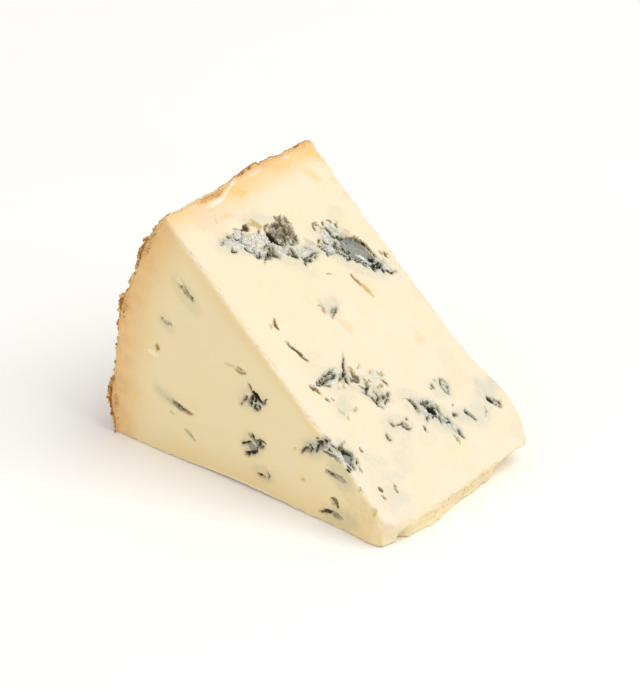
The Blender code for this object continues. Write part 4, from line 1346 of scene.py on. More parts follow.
    def flat_map(self, net: QuadNet) -> Array:
        """Lay the six sides on a square sheet at about their true size.

        Args:
            net: The body's faces.

        Returns:
            Sheet places of the face corners, (corners, 2).
        """
        shares = net.shares[net.corners]
        spots = self.form.bend(net.shares)[net.corners]
        along = shares[:, 0] * self.form.upper_cut
        across = shares[:, 2] * self.form.width
        forward = spots[:, 0] + self.form.lower_cut + 8
        flat = {
            Side.UPPER: (along + 2, across + 2),
            Side.LOWER: (along + 2, across + 64),
            Side.NEAR: (forward + 2, spots[:, 2] + 127),
            Side.FAR: (forward + 108, spots[:, 2] + 2),
            Side.RIND: (across + 112, shares[:, 1] * 76 + 80),
            Side.TIP: (across + 112, shares[:, 1] * 8 + 160),
        }
        return lay_flat(net, flat, self.sheet_size)

    def wanted(self, side: Side, shares: Array) -> Array:
        """Which quads are finer: those near a mark with a sharp edge, and the near edges.

        Args:
            side: The quads' side.
            shares: Their middles, (n, 3).

        Returns:
            True for each that is finer, (n,).
        """
        if side in (Side.RIND, Side.TIP):
            return np.zeros(len(shares), dtype=bool)
        fields = self.field.nearness(self.layout(shares)[2].base)
        sharp = [fields[growth] for growth in Growth if growth not in SOFT_GROWTHS]
        _, turn, across = shares.T
        wide, thin = self.edge_rows
        edges = ((turn > 1 - thin) & (across < wide)) | ((turn < thin) & (across < thin))
        return (np.max(sharp, axis=0) > -self.detail_margin) | edges

    def build(self) -> bpy.types.Object:
        """Make the body.

        Returns:
            The piece.
        """
        lengths = (self.form.lower_cut, self.rise, self.form.width)
        rows = tuple(stations(count, length, self.edge_radius) for count, length in zip(self.quads, lengths))
        net = QuadBox(rows, self.finer).build(self.wanted)
        point, size, ground = self.layout(net.shares)
        self.fields = self.field.nearness(ground.base)
        point += ground.outward * self.height(ground, self.fields)[:, None]
        point[:, 1] = np.maximum(point[:, 1], 0)
        point[:, 0] -= self.set_back(ground)
        places = self.form.bend_box(point, size, self.rind_gap)
        along, turn, across = net.shares.T
        hollow = self.foot_hollow * swell(along, 0.47, 0.19) * fall(across, 0, 0.2)
        places[:, 2] += hollow * fall(turn, 0, 0.1)
        body = make_object("paste_body", places, net, self.flat_map(net))
        self.ground, self.places, self.normals = ground, places, vertex_normals(body.data)
        for name, values in self.looks(ground).items():
            set_field(body.data, name, values)
        return body

    def looks(self, ground: Ground) -> dict[str, Array]:
        """The numbers that the finish reads, by name.

        Args:
            ground: The plain surface.

        Returns:
            For each name a number for each vertex, (n,).
        """
        far, turn = ground.far(), ground.shares[:, 1]
        width = self.line_width + self.line_more * swell(far, 16.5, 3.5)
        return {
            **{growth.value: values for growth, values in self.fields.items()},
            "from_rind": ground.inward(),
            "dry": self.dryness_and_side_shade(ground),
            # web: the creases where the finish paints shade.
            "web": self.field.creases(ground.base),
            "chalk_and_highlight": self.chalk_and_highlight(ground),
            "off_line": (ground.inward() - self.line_place(far)) / width,
            "line": ramp(turn, 0.97, 1) * ramp(far, 12.5, 16.5) * fall(far, 26, 29),
            "crust": self.crust_cover(ground),
        }

    # Partly dryness by the rind and the edges, partly painted shade on the outer sides and the tip.
    @staticmethod
    def dryness_and_side_shade(ground: Ground) -> Array:
        """How dry and yellow the paste is: the outer sides and the tip, most by their edges.

        Part of it is painted shade: the outer sides and the tip are darker and yellower all over, as
        if turned from the light. It fades again, as painted highlight, in a narrow band under the
        upper cut and at the tip's near corner.

        Args:
            ground: The plain surface.

        Returns:
            Shares from 0 to 1, (n,).
        """
        along, turn, across = ground.shares.T
        outer = ground.outward[:, 2] ** 2
        height = turn * (1 - along)
        edges = np.maximum.reduce([0.25 * ramp(along, 0.78, 0.98), 0.5 * ramp(turn, 0.86, 0.96),
                                   0.5 * fall(height, 0, 0.16), 0.8 * fall(along, 0.02, 0.2)])
        share = outer * (0.44 + 0.5 * edges) * (1 - 0.9 * ramp(turn, 0.976, 0.998))
        share = share + 0.3 * ground.facing(Side.TIP) + 0.2 * ramp(along, 0.975, 1)
        corner = ramp(along, 0.95, 0.99) * fall(across, 0.03, 0.12) * (1 - outer)
        return np.clip(share * (1 - 0.6 * corner), 0, 1)

    def chalk_and_highlight(self, ground: Ground) -> Array:
        """How chalky white the paste is.

        A veil and flecks of chalk lie beside the rind on the upper cut. The rest is painted highlight on
        edges: the rim half way along the near edge and the tip's near corner, and painted reflected
        light along the foot of the near side.

        Args:
            ground: The plain surface.

        Returns:
            Shares from 0 to 1, (n,).
        """
        inward, far, turn = ground.inward(), ground.far(), ground.shares[:, 1]
        veil = 0.35 * swell(inward, 3.4, 1.4) * swell(far, 17, 3)
        flecks = 0.7 * swell(inward, 0.4, 0.5) * (swell(far, 48, 4) + swell(far, 34, 6))
        upper = ramp(turn, 0.97, 1)
        rim = ramp(turn, 0.98, 1) * fall(far, 0, 0.7) * 0.35 * swell(inward, 46, 7)
        corner = 0.55 * swell(inward, 97.5, 3) * swell(far, 1, 3.5)
        foot = 0.5 * np.maximum(-ground.outward[:, 2], 0) * fall(turn, 0.004, 0.014)
        base, noise = ground.base, self.noise
        patchy = 0.85 + 0.35 * noise.at(base, 1.1, 14) + 0.25 * noise.at(base, 3.5, 12)
        return np.clip((upper * (veil + flecks) + rim + corner + foot) * patchy, 0, 1)

    def dress(self, piece: bpy.types.Object) -> None:
        """Give the body its finish and tie it to the frame."""
        own(piece, PasteFinish().build(), True)


# ---- The rind ----


@dataclass
class RindCrust:
    """The dry crust on the drum's outer face: a thin closed slab with a rough outside.

    Lengths are in millimetres.
    """

    form: WedgeForm
    noise: Noise3
    layers: tuple[float, ...] = (0.0, 0.3, 0.65, 1.0)
    quads: tuple[int, int] = (66, 52)
    rise: float = 74.0
    thickness: float = 0.7
    edge_radius: float = 0.3
    sheet_size: float = 128.0

    def rough(self, base: Array) -> Array:
        """Fine relief of the crust: scales, pits and cracks.

        Scales are noise squeezed into steps, pits are the deep tail of a noise, and cracks lie
        where another noise passes through 0.

        Args:
            base: Places on the plain form, (n, 3).

        Returns:
            Heights in millimetres, (n,).
        """
        bent = base + 0.9 * self.noise.drift(base, 3)
        scales = self.noise.layers(bent, 3.4, 3, 0.6)
        pits = ramp(self.noise.at(bent, 1.7, 11), 0.25, 0.75)
        cracks = fall(np.abs(self.noise.at(bent * [1, 0.6, 1.5], 4.5, 17)), 0, 0.09)
        grit = self.noise.at(base, 0.8, 3)
        smooth = 0.35 + 0.65 * ramp(self.noise.at(base, 7, 41), -0.25, 0.25)
        return smooth * (0.42 * np.tanh(2.2 * scales) - 0.6 * pits - 0.4 * cracks + 0.22 * grit)

    def rows(self) -> tuple[Array, ...]:
        """Where its quads meet, as shares of its thickness, its height and its width."""
        sides = [stations(*pair, self.edge_radius) for pair in zip(self.quads, (self.rise, self.form.width))]
        return np.array(self.layers), *sides

    @staticmethod
    def wanted(side: Side, shares: Array) -> Array:
        """Which quads are finer: all but those of its inside, which the paste hides."""
        return np.full(len(shares), side is not Side.TIP)

    def build(self) -> bpy.types.Object:
        """Make the crust.

        Returns:
            The piece.
        """
        net = QuadBox(self.rows()).build(self.wanted)
        flat_shares = net.shares * [0, 1, 1]
        outer = self.form.bend(flat_shares)
        uneven = 1 + 0.3 * self.noise.at(outer, 5, 2) + 0.18 * self.noise.at(outer, 1.6, 4)
        thick = self.thickness * uneven
        size = self.form.box_size(flat_shares, thick)
        point, outward = rounded(net.shares * size, size, np.full(len(thick), self.edge_radius))
        base = self.form.bend_box(point, size)
        ground = Ground(self.form, base, outward, net.shares)
        fine = self.rough(base)
        on_rind = ground.facing(Side.RIND)
        rim = 1 - on_rind - ground.facing(Side.TIP)
        swelling = rind_swell(self.form, base, self.noise)
        height = on_rind * (swelling + fine) + rim * (0.06 * self.noise.at(base, 1.2, 8))
        point += outward * height[:, None]
        point[:, 0] -= (1 - on_rind) * (1 - net.shares[:, 0]) * (swelling + fine)
        point[:, 0] -= net.shares[:, 0] * swelling * (1 - on_rind)
        point[:, 1] = np.maximum(point[:, 1], 0)
        places = self.form.bend_box(point, size)
        places[:, 2] = np.maximum(places[:, 2], 0)
        crust = make_object("rind_crust", places, net, self.flat_map(net))
        set_field(crust.data, "rough", fine)
        set_field(crust.data, "inward", net.shares[:, 0] * (1 - 0.9 * near_clumps(self.form, base, 5)))
        self.ground, self.places, self.normals = ground, places, vertex_normals(crust.data)
        return crust

    def flat_map(self, net: QuadNet) -> Array:
        """Lay the outside, the inside and the four rims on a square sheet.

        Args:
            net: The crust's faces.

        Returns:
            Sheet places of the face corners, (corners, 2).
        """
        inward, turn, across = net.shares[net.corners].T
        deep, up, wide = inward * 1.6, turn * 78, across * 59
        flat = {
            Side.RIND: (wide + 1, up + 1),
            Side.TIP: (wide + 62, up + 1),
            Side.NEAR: (deep + 122, up + 1),
            Side.FAR: (deep + 125, up + 1),
            Side.UPPER: (wide + 1, deep + 81),
            Side.LOWER: (wide + 62, deep + 81),
        }
        return lay_flat(net, flat, self.sheet_size)

    def dress(self, piece: bpy.types.Object) -> None:
        """Give the crust its finish and tie it to the frame."""
        own(piece, RindFinish().build(), True)


# ---- Crumbs ----


@dataclass
class Scatter:
    """Many small rough grains as one mesh: each is a ball of rings whose radius follows noise."""

    name: str
    noise: Noise3
    rings: int = 4
    around: int = 6

    def ball(self) -> tuple[Array, list[tuple[int, ...]], list[tuple[float, float]]]:
        """A unit ball of rings of points between two poles.

        Returns:
            Its points, its faces turned outwards, and the sheet place of each face corner.
        """
        polar = np.pi * np.arange(1, self.rings) / self.rings
        turn = math.tau * np.arange(self.around) / self.around
        ring = np.stack([np.outer(np.sin(polar), np.cos(turn)), np.outer(np.sin(polar), np.sin(turn)),
                         np.outer(np.cos(polar), np.ones_like(turn))], axis=-1).reshape(-1, 3)
        points = np.concatenate([ring, [[0, 0, 1], [0, 0, -1]]])
        top, bottom, last = len(ring), len(ring) + 1, (self.rings - 2) * self.around
        faces: list[tuple[int, ...]] = []
        sheet: list[tuple[float, float]] = []
        for i in range(self.around):
            j = (i + 1) % self.around
            faces += [(top, i, j), (bottom, last + j, last + i)]
            sheet += [(i + 0.5, 0), (i, 1), (i + 1, 1)]
            sheet += [(i + 0.5, self.rings), (i + 1, self.rings - 1), (i, self.rings - 1)]
            for row in range(self.rings - 2):
                low = row * self.around
                faces.append((low + i, low + self.around + i, low + self.around + j, low + j))
                sheet += [(i, row + 1), (i, row + 2), (i + 1, row + 2), (i + 1, row + 1)]
        return points, faces, [(u / self.around, v / self.rings) for u, v in sheet]

    def build(self, places: Array, normals: Array, sizes: Array, flat: float, sink: float,
              rng: np.random.Generator) -> bpy.types.Object:
        """Make one grain at each place.

        Args:
            places: Places on the surface in millimetres, (n, 3).
            normals: Outward directions there, (n, 3).
            sizes: Radii of the grains, (n,).
            flat: Height of a grain next to its width.
            sink: How much of its height is below the surface.
            rng: Source of the grains' turns.

        Returns:
            The piece.
        """
        points, faces, sheet = self.ball()
        side = np.cross(normals, rng.normal(size=normals.shape))
        side /= np.linalg.norm(side, axis=1, keepdims=True)
        other = np.cross(normals, side)
        stretch = rng.uniform(0.65, 1.25, size=(len(places), 2))
        spread = (points[None] + places[:, None, :] * 3.7).reshape(-1, 3)
        lumpy = 1 + 0.6 * self.noise.at(spread, 0.9).reshape(len(places), -1)
        local = points[None] * (lumpy * sizes[:, None])[..., None]
        middle = places + normals * (sizes * flat * (1 - 2 * sink))[:, None]
        grains = (middle[:, None, :] + local[..., :1] * side[:, None, :] * stretch[:, :1, None]
                  + local[..., 1:2] * other[:, None, :] * stretch[:, 1:, None]
                  + local[..., 2:] * normals[:, None, :] * flat)
        grains[..., 2] = np.maximum(grains[..., 2], 0)
        shifts = len(points) * np.arange(len(places))
        mesh = bpy.data.meshes.new(self.name)
        mesh.from_pydata(FORM.in_frame(grains.reshape(-1, 3)).tolist(), [],
                         [tuple(v + shift for v in face) for shift in shifts for face in faces])
        cells = math.ceil(math.sqrt(len(places)))
        corner = np.stack([np.arange(len(places)) % cells, np.arange(len(places)) // cells], axis=1)
        layer = mesh.uv_layers.new(name="OFBake")
        layer.uv.foreach_set("vector", ((corner[:, None, :] + 0.05 + 0.9 * np.array(sheet)) / cells).ravel())
        mesh.shade_smooth()
        set_field(mesh, "tone", np.repeat(rng.uniform(0, 1, len(places)), len(points)))
        return link(self.name, mesh)


@dataclass
class Crumbs:
    """Loose grains on the wedge: mould in its clusters, crumbs on its worn edges, flakes on its rind."""

    body: PasteBody
    crust: RindCrust
    noise: Noise3
    mould_count: int = 800
    crumb_count: int = 110
    flake_count: int = 1150
    mould_seed: int = 21
    crumb_seed: int = 22
    flake_seed: int = 23

    @staticmethod
    def draw(rng: np.random.Generator, count: int, weight: Array) -> Array:
        """Numbers of places drawn once each, more often where the weight is higher.

        Args:
            rng: Source of chance.
            count: How many.
            weight: Weight of each place, (n,).

        Returns:
            Their numbers.
        """
        return rng.choice(len(weight), size=count, replace=False, p=weight / weight.sum())

    def mould(self) -> bpy.types.Object:
        """Fine grains of white and grey mould in the clusters.

        Returns:
            The grains.
        """
        rng = np.random.default_rng(self.mould_seed)
        fields = self.body.fields
        white = np.maximum(fields[Growth.FLUFF], 0.8 * fields[Growth.BLOOM])
        weight = ramp(white, -0.1, 0.3) * (1 - 0.8 * ramp(self.body.ground.shares[:, 0], 0.45, 0.5))
        weight *= fall(fields[Growth.LENS], -0.2, 0.2)
        weight *= 1 - 0.9 * ramp(fields[Growth.DARK], -0.1, 0.1)
        chosen = self.draw(rng, self.mould_count, weight)
        sizes = rng.uniform(0.08, 0.22, len(chosen))
        return Scatter("mould_grains", self.noise).build(
            self.body.places[chosen], self.body.normals[chosen], sizes, 0.75, 0.3, rng)

    def paste(self) -> bpy.types.Object:
        """Crumbs of paste on the broken tip and along the worn edges.

        Returns:
            The grains.
        """
        rng = np.random.default_rng(self.crumb_seed)
        ground = self.body.ground
        along, turn, across = ground.shares.T
        tip = ground.facing(Side.TIP)
        lip = tip * ramp(turn, 0.9, 1)
        corner = ramp(along, 0.95, 1) * fall(across, 0.02, 0.09)
        edge = ramp(turn, 0.985, 1) + 0.5 * fall(turn, 0, 0.01)
        edge *= fall(across, 0, 0.012)
        patch = ramp(self.noise.at(ground.base, 5, 33), -0.1, 0.4)
        spot = 0.3 + swell(along, 0.46, 0.05)
        weight = (0.2 * tip + 0.5 * lip) * (1 - 0.9 * corner) * (0.1 + patch) + 0.6 * edge * patch * spot
        chosen = self.draw(rng, self.crumb_count, weight)
        sizes = rng.uniform(0.14, 0.3, len(chosen))
        sizes *= 1 + 1.1 * tip[chosen] * rng.uniform(0, 1, len(chosen))
        return Scatter("paste_crumbs", self.noise).build(
            self.body.places[chosen], self.body.normals[chosen], sizes, 0.36, 0.42, rng)

    def rind(self) -> bpy.types.Object:
        """Flakes of dry crust all over the rind, more of them at its near edge.

        Returns:
            The grains.
        """
        rng = np.random.default_rng(self.flake_seed)
        crust, body = self.crust, self.body
        places = np.concatenate([crust.places, body.places])
        normals = np.concatenate([crust.normals, body.normals])
        ground = crust.ground.joined(body.ground)
        on_crust = np.arange(len(places)) < len(crust.places)
        clumps = near_clumps(crust.form, ground.base, 6)
        near_edge = fall(ground.shares[:, 2], 0, 0.045)
        patch = ramp(self.noise.at(ground.base, 6, 41), -0.1, 0.35)
        calm = 1 - 0.85 * ramp(ground.shares[:, 1], 0.93, 0.975)
        outside = ground.facing(Side.RIND) * (0.05 + 0.6 * patch) * (1 + 14 * near_edge * (0.06 + clumps))
        inward = ground.inward()
        beside = ground.facing(Side.NEAR) * clumps**2 * fall(inward, 0.4, 2.2) * (inward > 0.1)
        weight = np.where(on_crust, outside * calm, 2.5 * beside)
        chosen = self.draw(rng, self.flake_count, weight)
        sizes = rng.uniform(0.2, 0.62, len(chosen))
        sizes *= np.where(on_crust[chosen], 1 + 0.35 * clumps[chosen], 0.7)
        return Scatter("rind_flakes", self.noise).build(
            places[chosen], normals[chosen], sizes, 0.55, 0.35, rng)

    def build(self) -> None:
        """Make each kind of grain and give it its finish."""
        for piece, finish in (
            (self.mould(), CrumbFinish("mould", srgb(240, 239, 230), srgb(206, 203, 188), 0.3, 0.85)),
            (self.paste(), CrumbFinish("crumb", srgb(250, 236, 206), srgb(244, 226, 186))),
            (self.rind(), CrumbFinish("flake", srgb(234, 196, 130), srgb(166, 110, 48), 0.5, 0.85)),
        ):
            own(piece, finish.build(), False)


# ---- Shader maths ----


class Value:
    """A number in a material: arithmetic on it adds Math nodes."""

    def __init__(self, nodes: "Nodes", socket: bpy.types.NodeSocket) -> None:
        """Wrap a socket of a node tree."""
        self.nodes = nodes
        self.socket = socket

    def math(self, operation: str, *others: "Value | float") -> "Value":
        """A Math node on this number and others."""
        return self.nodes.math(operation, self, *others)

    def __add__(self, other: "Value | float") -> "Value":
        """This plus the other."""
        return self.math("ADD", other)

    __radd__ = __add__

    def __sub__(self, other: "Value | float") -> "Value":
        """This less the other."""
        return self.math("SUBTRACT", other)

    def __rsub__(self, other: float) -> "Value":
        """The other less this."""
        return self.nodes.math("SUBTRACT", other, self)

    def __mul__(self, other: "Value | float") -> "Value":
        """This times the other."""
        return self.math("MULTIPLY", other)

    __rmul__ = __mul__

    def between(self, start: float, end: float) -> "Value":
        """A smooth step from 0 to 1, up or down.

        Args:
            start: Where it is 0.
            end: Where it is 1, above or below the start.

        Returns:
            The step.
        """
        if start > end:
            return 1 - self.between(end, start)
        return self.nodes.smooth(self, start, end)


class Nodes:
    """The node tree of one material."""

    def __init__(self, name: str) -> None:
        """Start a material with one Principled shader.

        Args:
            name: Name of the material.
        """
        self.material = bpy.data.materials.new(name)
        self.material.use_nodes = True
        self.tree = self.material.node_tree
        self.shader = self.tree.nodes["Principled BSDF"]
        place = self.node("ShaderNodeTexCoord").outputs["Object"]
        self.object_mm = self.vector_math("MULTIPLY", place, (1 / MM,) * 3)

    def node(self, kind: str, settings: dict | None = None, inputs: dict | None = None) -> bpy.types.Node:
        """Add a node.

        Args:
            kind: Its type.
            settings: Its own settings, which are set first.
            inputs: Values or links of its sockets by name or number.

        Returns:
            The node.
        """
        node = self.tree.nodes.new(kind)
        for name, setting in (settings or {}).items():
            setattr(node, name, setting)
        for name, value in (inputs or {}).items():
            self.feed(node.inputs[name], value)
        return node

    def feed(self, socket: bpy.types.NodeSocket, value: object) -> None:
        """Set or link a socket.

        Args:
            socket: The socket.
            value: A number or colour, or another socket or a Value to link.
        """
        if isinstance(value, Value):
            value = value.socket
        if isinstance(value, bpy.types.NodeSocket):
            self.tree.links.new(value, socket)
        else:
            socket.default_value = value

    def math(self, operation: str, *values: "Value | float") -> Value:
        """A Math node as a Value."""
        node = self.node("ShaderNodeMath", {"operation": operation}, dict(enumerate(values)))
        return Value(self, node.outputs[0])

    def smooth(self, value: Value, start: float, end: float) -> Value:
        """A smooth step.

        Args:
            value: The number that it depends on.
            start: Where it is 0.
            end: Where it is 1.

        Returns:
            The step.
        """
        node = self.node("ShaderNodeMapRange", {"interpolation_type": "SMOOTHSTEP"},
                         {"Value": value, "From Min": start, "From Max": end})
        return Value(self, node.outputs["Result"])

    def vector_math(self, operation: str, *vectors: object) -> bpy.types.NodeSocket:
        """A Vector Math node's vector."""
        node = self.node("ShaderNodeVectorMath", {"operation": operation}, dict(enumerate(vectors)))
        return node.outputs["Vector"]

    def field(self, name: str) -> Value:
        """A number kept for each vertex."""
        node = self.node("ShaderNodeAttribute", {"attribute_name": name})
        return Value(self, node.outputs["Fac"])

    def noise(self, size: float, detail: float = 2.0, shift: float = 0.0, warp: float = 0.0) -> Value:
        """Noise from 0 to 1.

        Args:
            size: Width of its features in millimetres.
            detail: How many finer noises are added.
            shift: Distance that picks another part of the noise.
            warp: How much the noise bends itself.

        Returns:
            The noise.
        """
        place = self.vector_math("ADD", self.object_mm, (shift, -shift, shift))
        node = self.node("ShaderNodeTexNoise", {"noise_dimensions": "3D"},
                         {"Vector": place, "Scale": 1 / size, "Detail": detail, "Distortion": warp})
        return Value(self, node.outputs["Fac"])

    def mix(self, factor: "Value | float", first: object, second: object) -> bpy.types.NodeSocket:
        """Mix two colours.

        Args:
            factor: 0 for the first colour and 1 for the second.
            first: The first colour.
            second: The second colour.

        Returns:
            The mixed colour.
        """
        node = self.node("ShaderNodeMix", {"data_type": "RGBA"})
        self.feed(node.inputs[0], factor)
        self.feed(node.inputs[6], first)
        self.feed(node.inputs[7], second)
        return node.outputs[2]

    def bump(self, height: Value, strength: float = 1.0) -> None:
        """Raise the shader's surface by a height in millimetres."""
        node = self.node("ShaderNodeBump", None, {"Height": height, "Distance": MM, "Strength": strength})
        self.feed(self.shader.inputs["Normal"], node.outputs["Normal"])

    def dress(self, colour: object, roughness: object, **constants: object) -> bpy.types.Material:
        """Feed the shader.

        Args:
            colour: Its base colour.
            roughness: Its roughness.
            constants: Other sockets by name, with _ for a space, that are the same all over.

        Returns:
            The material.
        """
        self.feed(self.shader.inputs["Base Color"], colour)
        self.feed(self.shader.inputs["Roughness"], roughness)
        for name, value in constants.items():
            self.shader.inputs[name.replace("_", " ")].default_value = value
        return self.material


# ---- Finishes ----


@dataclass(frozen=True)
class PasteFinish:
    """The moist cream paste and everything that marks it."""

    cream: Colour = srgb(247, 227, 200)
    milky: Colour = srgb(242, 227, 204)
    buttery: Colour = srgb(246, 223, 188)
    # outer: the darker yellow cream of the outer sides, partly painted shade.
    outer: Colour = srgb(240, 223, 180)
    dry: Colour = srgb(239, 206, 144)
    peach: Colour = srgb(244, 202, 142)
    stale: Colour = srgb(202, 195, 160)
    tea: Colour = srgb(190, 152, 104)
    tan: Colour = srgb(214, 166, 102)
    rust: Colour = srgb(178, 124, 62)
    # chalk: chalky white, also used for painted highlight on the edges.
    chalk_and_highlight: Colour = srgb(246, 234, 216)
    # crease: painted shade in the creases of the mould and along thin streaks.
    crease_shade: Colour = srgb(50, 46, 30)
    smudge: Colour = srgb(112, 106, 74)
    # hole: near-black painted shade at the cores of the dark marks.
    hole_shade: Colour = srgb(12, 10, 5)
    subsurface: float = 0.25
    spread: tuple[float, float, float] = (0.72, 0.64, 0.46)
    depth: float = 0.0009

    def build(self) -> bpy.types.Material:
        """Make the material.

        Returns:
            The material.
        """
        nodes = Nodes("paste")
        cloud = nodes.noise(9, 3)
        fine = nodes.noise(0.42, 2, 5)
        mid = nodes.noise(1.1, 2, 9)
        rind = nodes.field("from_rind")
        colour = nodes.mix(rind.between(25, 85), self.cream, self.milky)
        buttery = cloud.between(0.35, 0.75) * 0.6 + mid.between(0.4, 0.8) * 0.15 + rind.between(55, 10) * 0.15
        colour = nodes.mix(buttery, colour, self.buttery)
        # dry: partly dryness, partly painted shade of the outer sides and the tip, with painted highlight at
        # their upper edge.
        dry = nodes.field("dry") + 0.3 * (cloud - 0.5)
        colour = nodes.mix(dry.between(0, 0.5), colour, self.outer)
        colour = nodes.mix(dry.between(0.45, 1), colour, self.dry)
        colour = nodes.mix((rind + 6 * cloud).between(11.5, 3) * 0.9, colour, self.peach)
        mottle = nodes.noise(4, 3, 41).between(0.35, 0.7)
        stained = rind.between(10, 0) * dry.between(0.3, 0.7) * (0.14 + 0.26 * mottle)
        colour = nodes.mix(stained, colour, self.tea)
        colour = nodes.mix((rind + 1.2 * mid).between(1.5, 0.6) * 0.3, colour, self.tan)
        web = nodes.field("web")
        streak = (nodes.noise(0.7, 2, 17, 0.6) - 0.5).math("ABSOLUTE").between(0.045, 0)
        web = web.math("MAXIMUM", streak * 0.6)
        smudge = (nodes.field(Growth.DARK.value) + (mid - 0.5) * 0.8).between(-0.9, 0.15) * 0.3
        mould = 0
        for stain in STAINS:
            if stain.growth is Growth.TAUPE:
                colour = nodes.mix(smudge, colour, self.smudge)
            near = nodes.field(stain.growth.value)
            edge = near + (fine - 0.5) * (2.4 * stain.ragged) + (mid - 0.5) * (1.6 * stain.ragged)
            cover = edge.between(-stain.soft, stain.soft) * stain.cover
            speckle = (fine * 0.6 + mid * 0.4).between(0.58, 0.4)
            marked = nodes.mix(speckle, stain.colour, stain.speck)
            # On the outer sides the halo turns to the darker stale colour, following the painted side shade
            # in dry.
            if stain.growth is Growth.HALO:
                marked = nodes.mix(dry.between(0.1, 0.45), marked, self.stale)
            # Painted shade in the creases between the mould's lumps and along thin streaks.
            if stain.web:
                marked = nodes.mix(web * stain.web, marked, self.crease_shade)
            colour = nodes.mix(cover, colour, marked)
            if stain.lumps:
                mould = nodes.math("MAXIMUM", mould, cover)
        # Painted shade: the cores of the dark marks turn near black, like deep holes in shadow.
        painted_hole_shade = (nodes.field(Growth.DARK.value) + (fine - 0.5) * 0.3).between(0.15, 0.5)
        colour = nodes.mix(painted_hole_shade * 0.9, colour, self.hole_shade)
        # Chalk beside the rind, and painted highlight on the near rim, the tip's near corner and the near
        # foot.
        chalk_and_highlight = nodes.field("chalk_and_highlight") + (fine - 0.5) * 0.8 + (mid - 0.5) * 0.4
        off_line = nodes.field("off_line") + (mid - 0.5) * 1.2 + (fine - 0.5) * 1.2
        line = off_line.math("ABSOLUTE").between(1.1, 0.1)
        white = (chalk_and_highlight.between(0.2, 0.85) * 0.85).math("MAXIMUM", line * nodes.field("line") * 0.85)
        colour = nodes.mix(white, colour, self.chalk_and_highlight)
        crust = nodes.field("crust") + (fine - 0.5) * 1 + (mid - 0.5) * 0.6
        crumbly = nodes.mix((mid * 0.5 + fine * 0.9).between(0.6, 0.85), self.tan, self.rust)
        colour = nodes.mix(crust.between(0.15, 0.85) * 0.85, colour, crumbly)
        drawn = nodes.vector_math("MULTIPLY", nodes.object_mm, (0.12, 0.9, 0.9))
        scratches = nodes.node("ShaderNodeTexNoise", None, {"Vector": drawn, "Scale": 1})
        knife = Value(nodes, scratches.outputs["Fac"])
        height = (mid - 0.5) * 0.05 + (knife - 0.5) * 0.12 + (fine - 0.5) * (0.03 + 0.22 * mould)
        nodes.bump(height)
        return nodes.dress(colour, 0.46 + 0.4 * mould, Specular_IOR_Level=0.25,
                           Subsurface_Weight=self.subsurface, Subsurface_Radius=self.spread,
                           Subsurface_Scale=self.depth)


@dataclass(frozen=True)
class RindFinish:
    """The dry brown crust, with pale bloom on its high parts and dark pits."""

    base: Colour = srgb(186, 142, 90)
    orange: Colour = srgb(198, 132, 64)
    dark: Colour = srgb(122, 86, 50)
    bloom: Colour = srgb(232, 210, 172)
    grey: Colour = srgb(170, 156, 130)
    pit: Colour = srgb(84, 60, 36)
    inner: Colour = srgb(238, 204, 148)

    def build(self) -> bpy.types.Material:
        """Make the material.

        Returns:
            The material.
        """
        nodes = Nodes("rind")
        rough = nodes.field("rough")
        broad = nodes.noise(11, 3, 3)
        patch = nodes.noise(3.2, 3, 13)
        fine = nodes.noise(0.7, 3, 23)
        colour = nodes.mix(broad.between(0.4, 0.65), self.base, self.orange)
        colour = nodes.mix(patch.between(0.52, 0.72) * 0.7, colour, self.dark)
        colour = nodes.mix((patch + 0.3 * broad).between(0.62, 0.48) * 0.45, colour, self.grey)
        colour = nodes.mix((rough * 0.6 + fine).between(0.6, 0.9) * 0.9, colour, self.bloom)
        colour = nodes.mix((rough + 0.5 * fine).between(0.05, -0.35) * 0.9, colour, self.pit)
        inside = nodes.field("inward") + (fine - 0.5) * 0.5 + (patch - 0.5) * 0.5
        colour = nodes.mix(inside.between(0.05, 0.4), colour, self.inner)
        nodes.bump((fine - 0.5) * 0.35 + (nodes.noise(0.25, 2, 31) - 0.5) * 0.1)
        return nodes.dress(colour, 0.85 - 0.2 * patch, Specular_IOR_Level=0.3, Subsurface_Weight=0.12,
                           Subsurface_Radius=(1, 0.5, 0.25), Subsurface_Scale=MM)


@dataclass(frozen=True)
class CrumbFinish:
    """Loose grains of one kind, each a little lighter or darker than the next."""

    name: str
    light: Colour
    dark: Colour
    grain: float = 0.4
    roughness: float = 0.7

    def build(self) -> bpy.types.Material:
        """Make the material.

        Returns:
            The material.
        """
        nodes = Nodes(self.name)
        fine = nodes.noise(self.grain, 3, 4)
        tone = nodes.field("tone") * 0.7 + fine * 0.6
        nodes.bump((fine - 0.5) * 0.12)
        colour = nodes.mix(tone.between(0.3, 1), self.light, self.dark)
        return nodes.dress(colour, self.roughness + 0.1 * fine, Subsurface_Weight=0.2,
                           Subsurface_Radius=(1, 0.6, 0.3), Subsurface_Scale=MM)


@dataclass(frozen=True)
class FloorFinish:
    """A plain matt white studio floor."""

    pale: Colour = srgb(254, 254, 254)
    soft: Colour = srgb(251, 251, 251)

    def build(self) -> bpy.types.Material:
        """Make the material.

        Returns:
            The material.
        """
        nodes = Nodes("floor")
        return nodes.dress(nodes.mix(nodes.noise(60), self.pale, self.soft), 0.9)


# ---- Studio ----


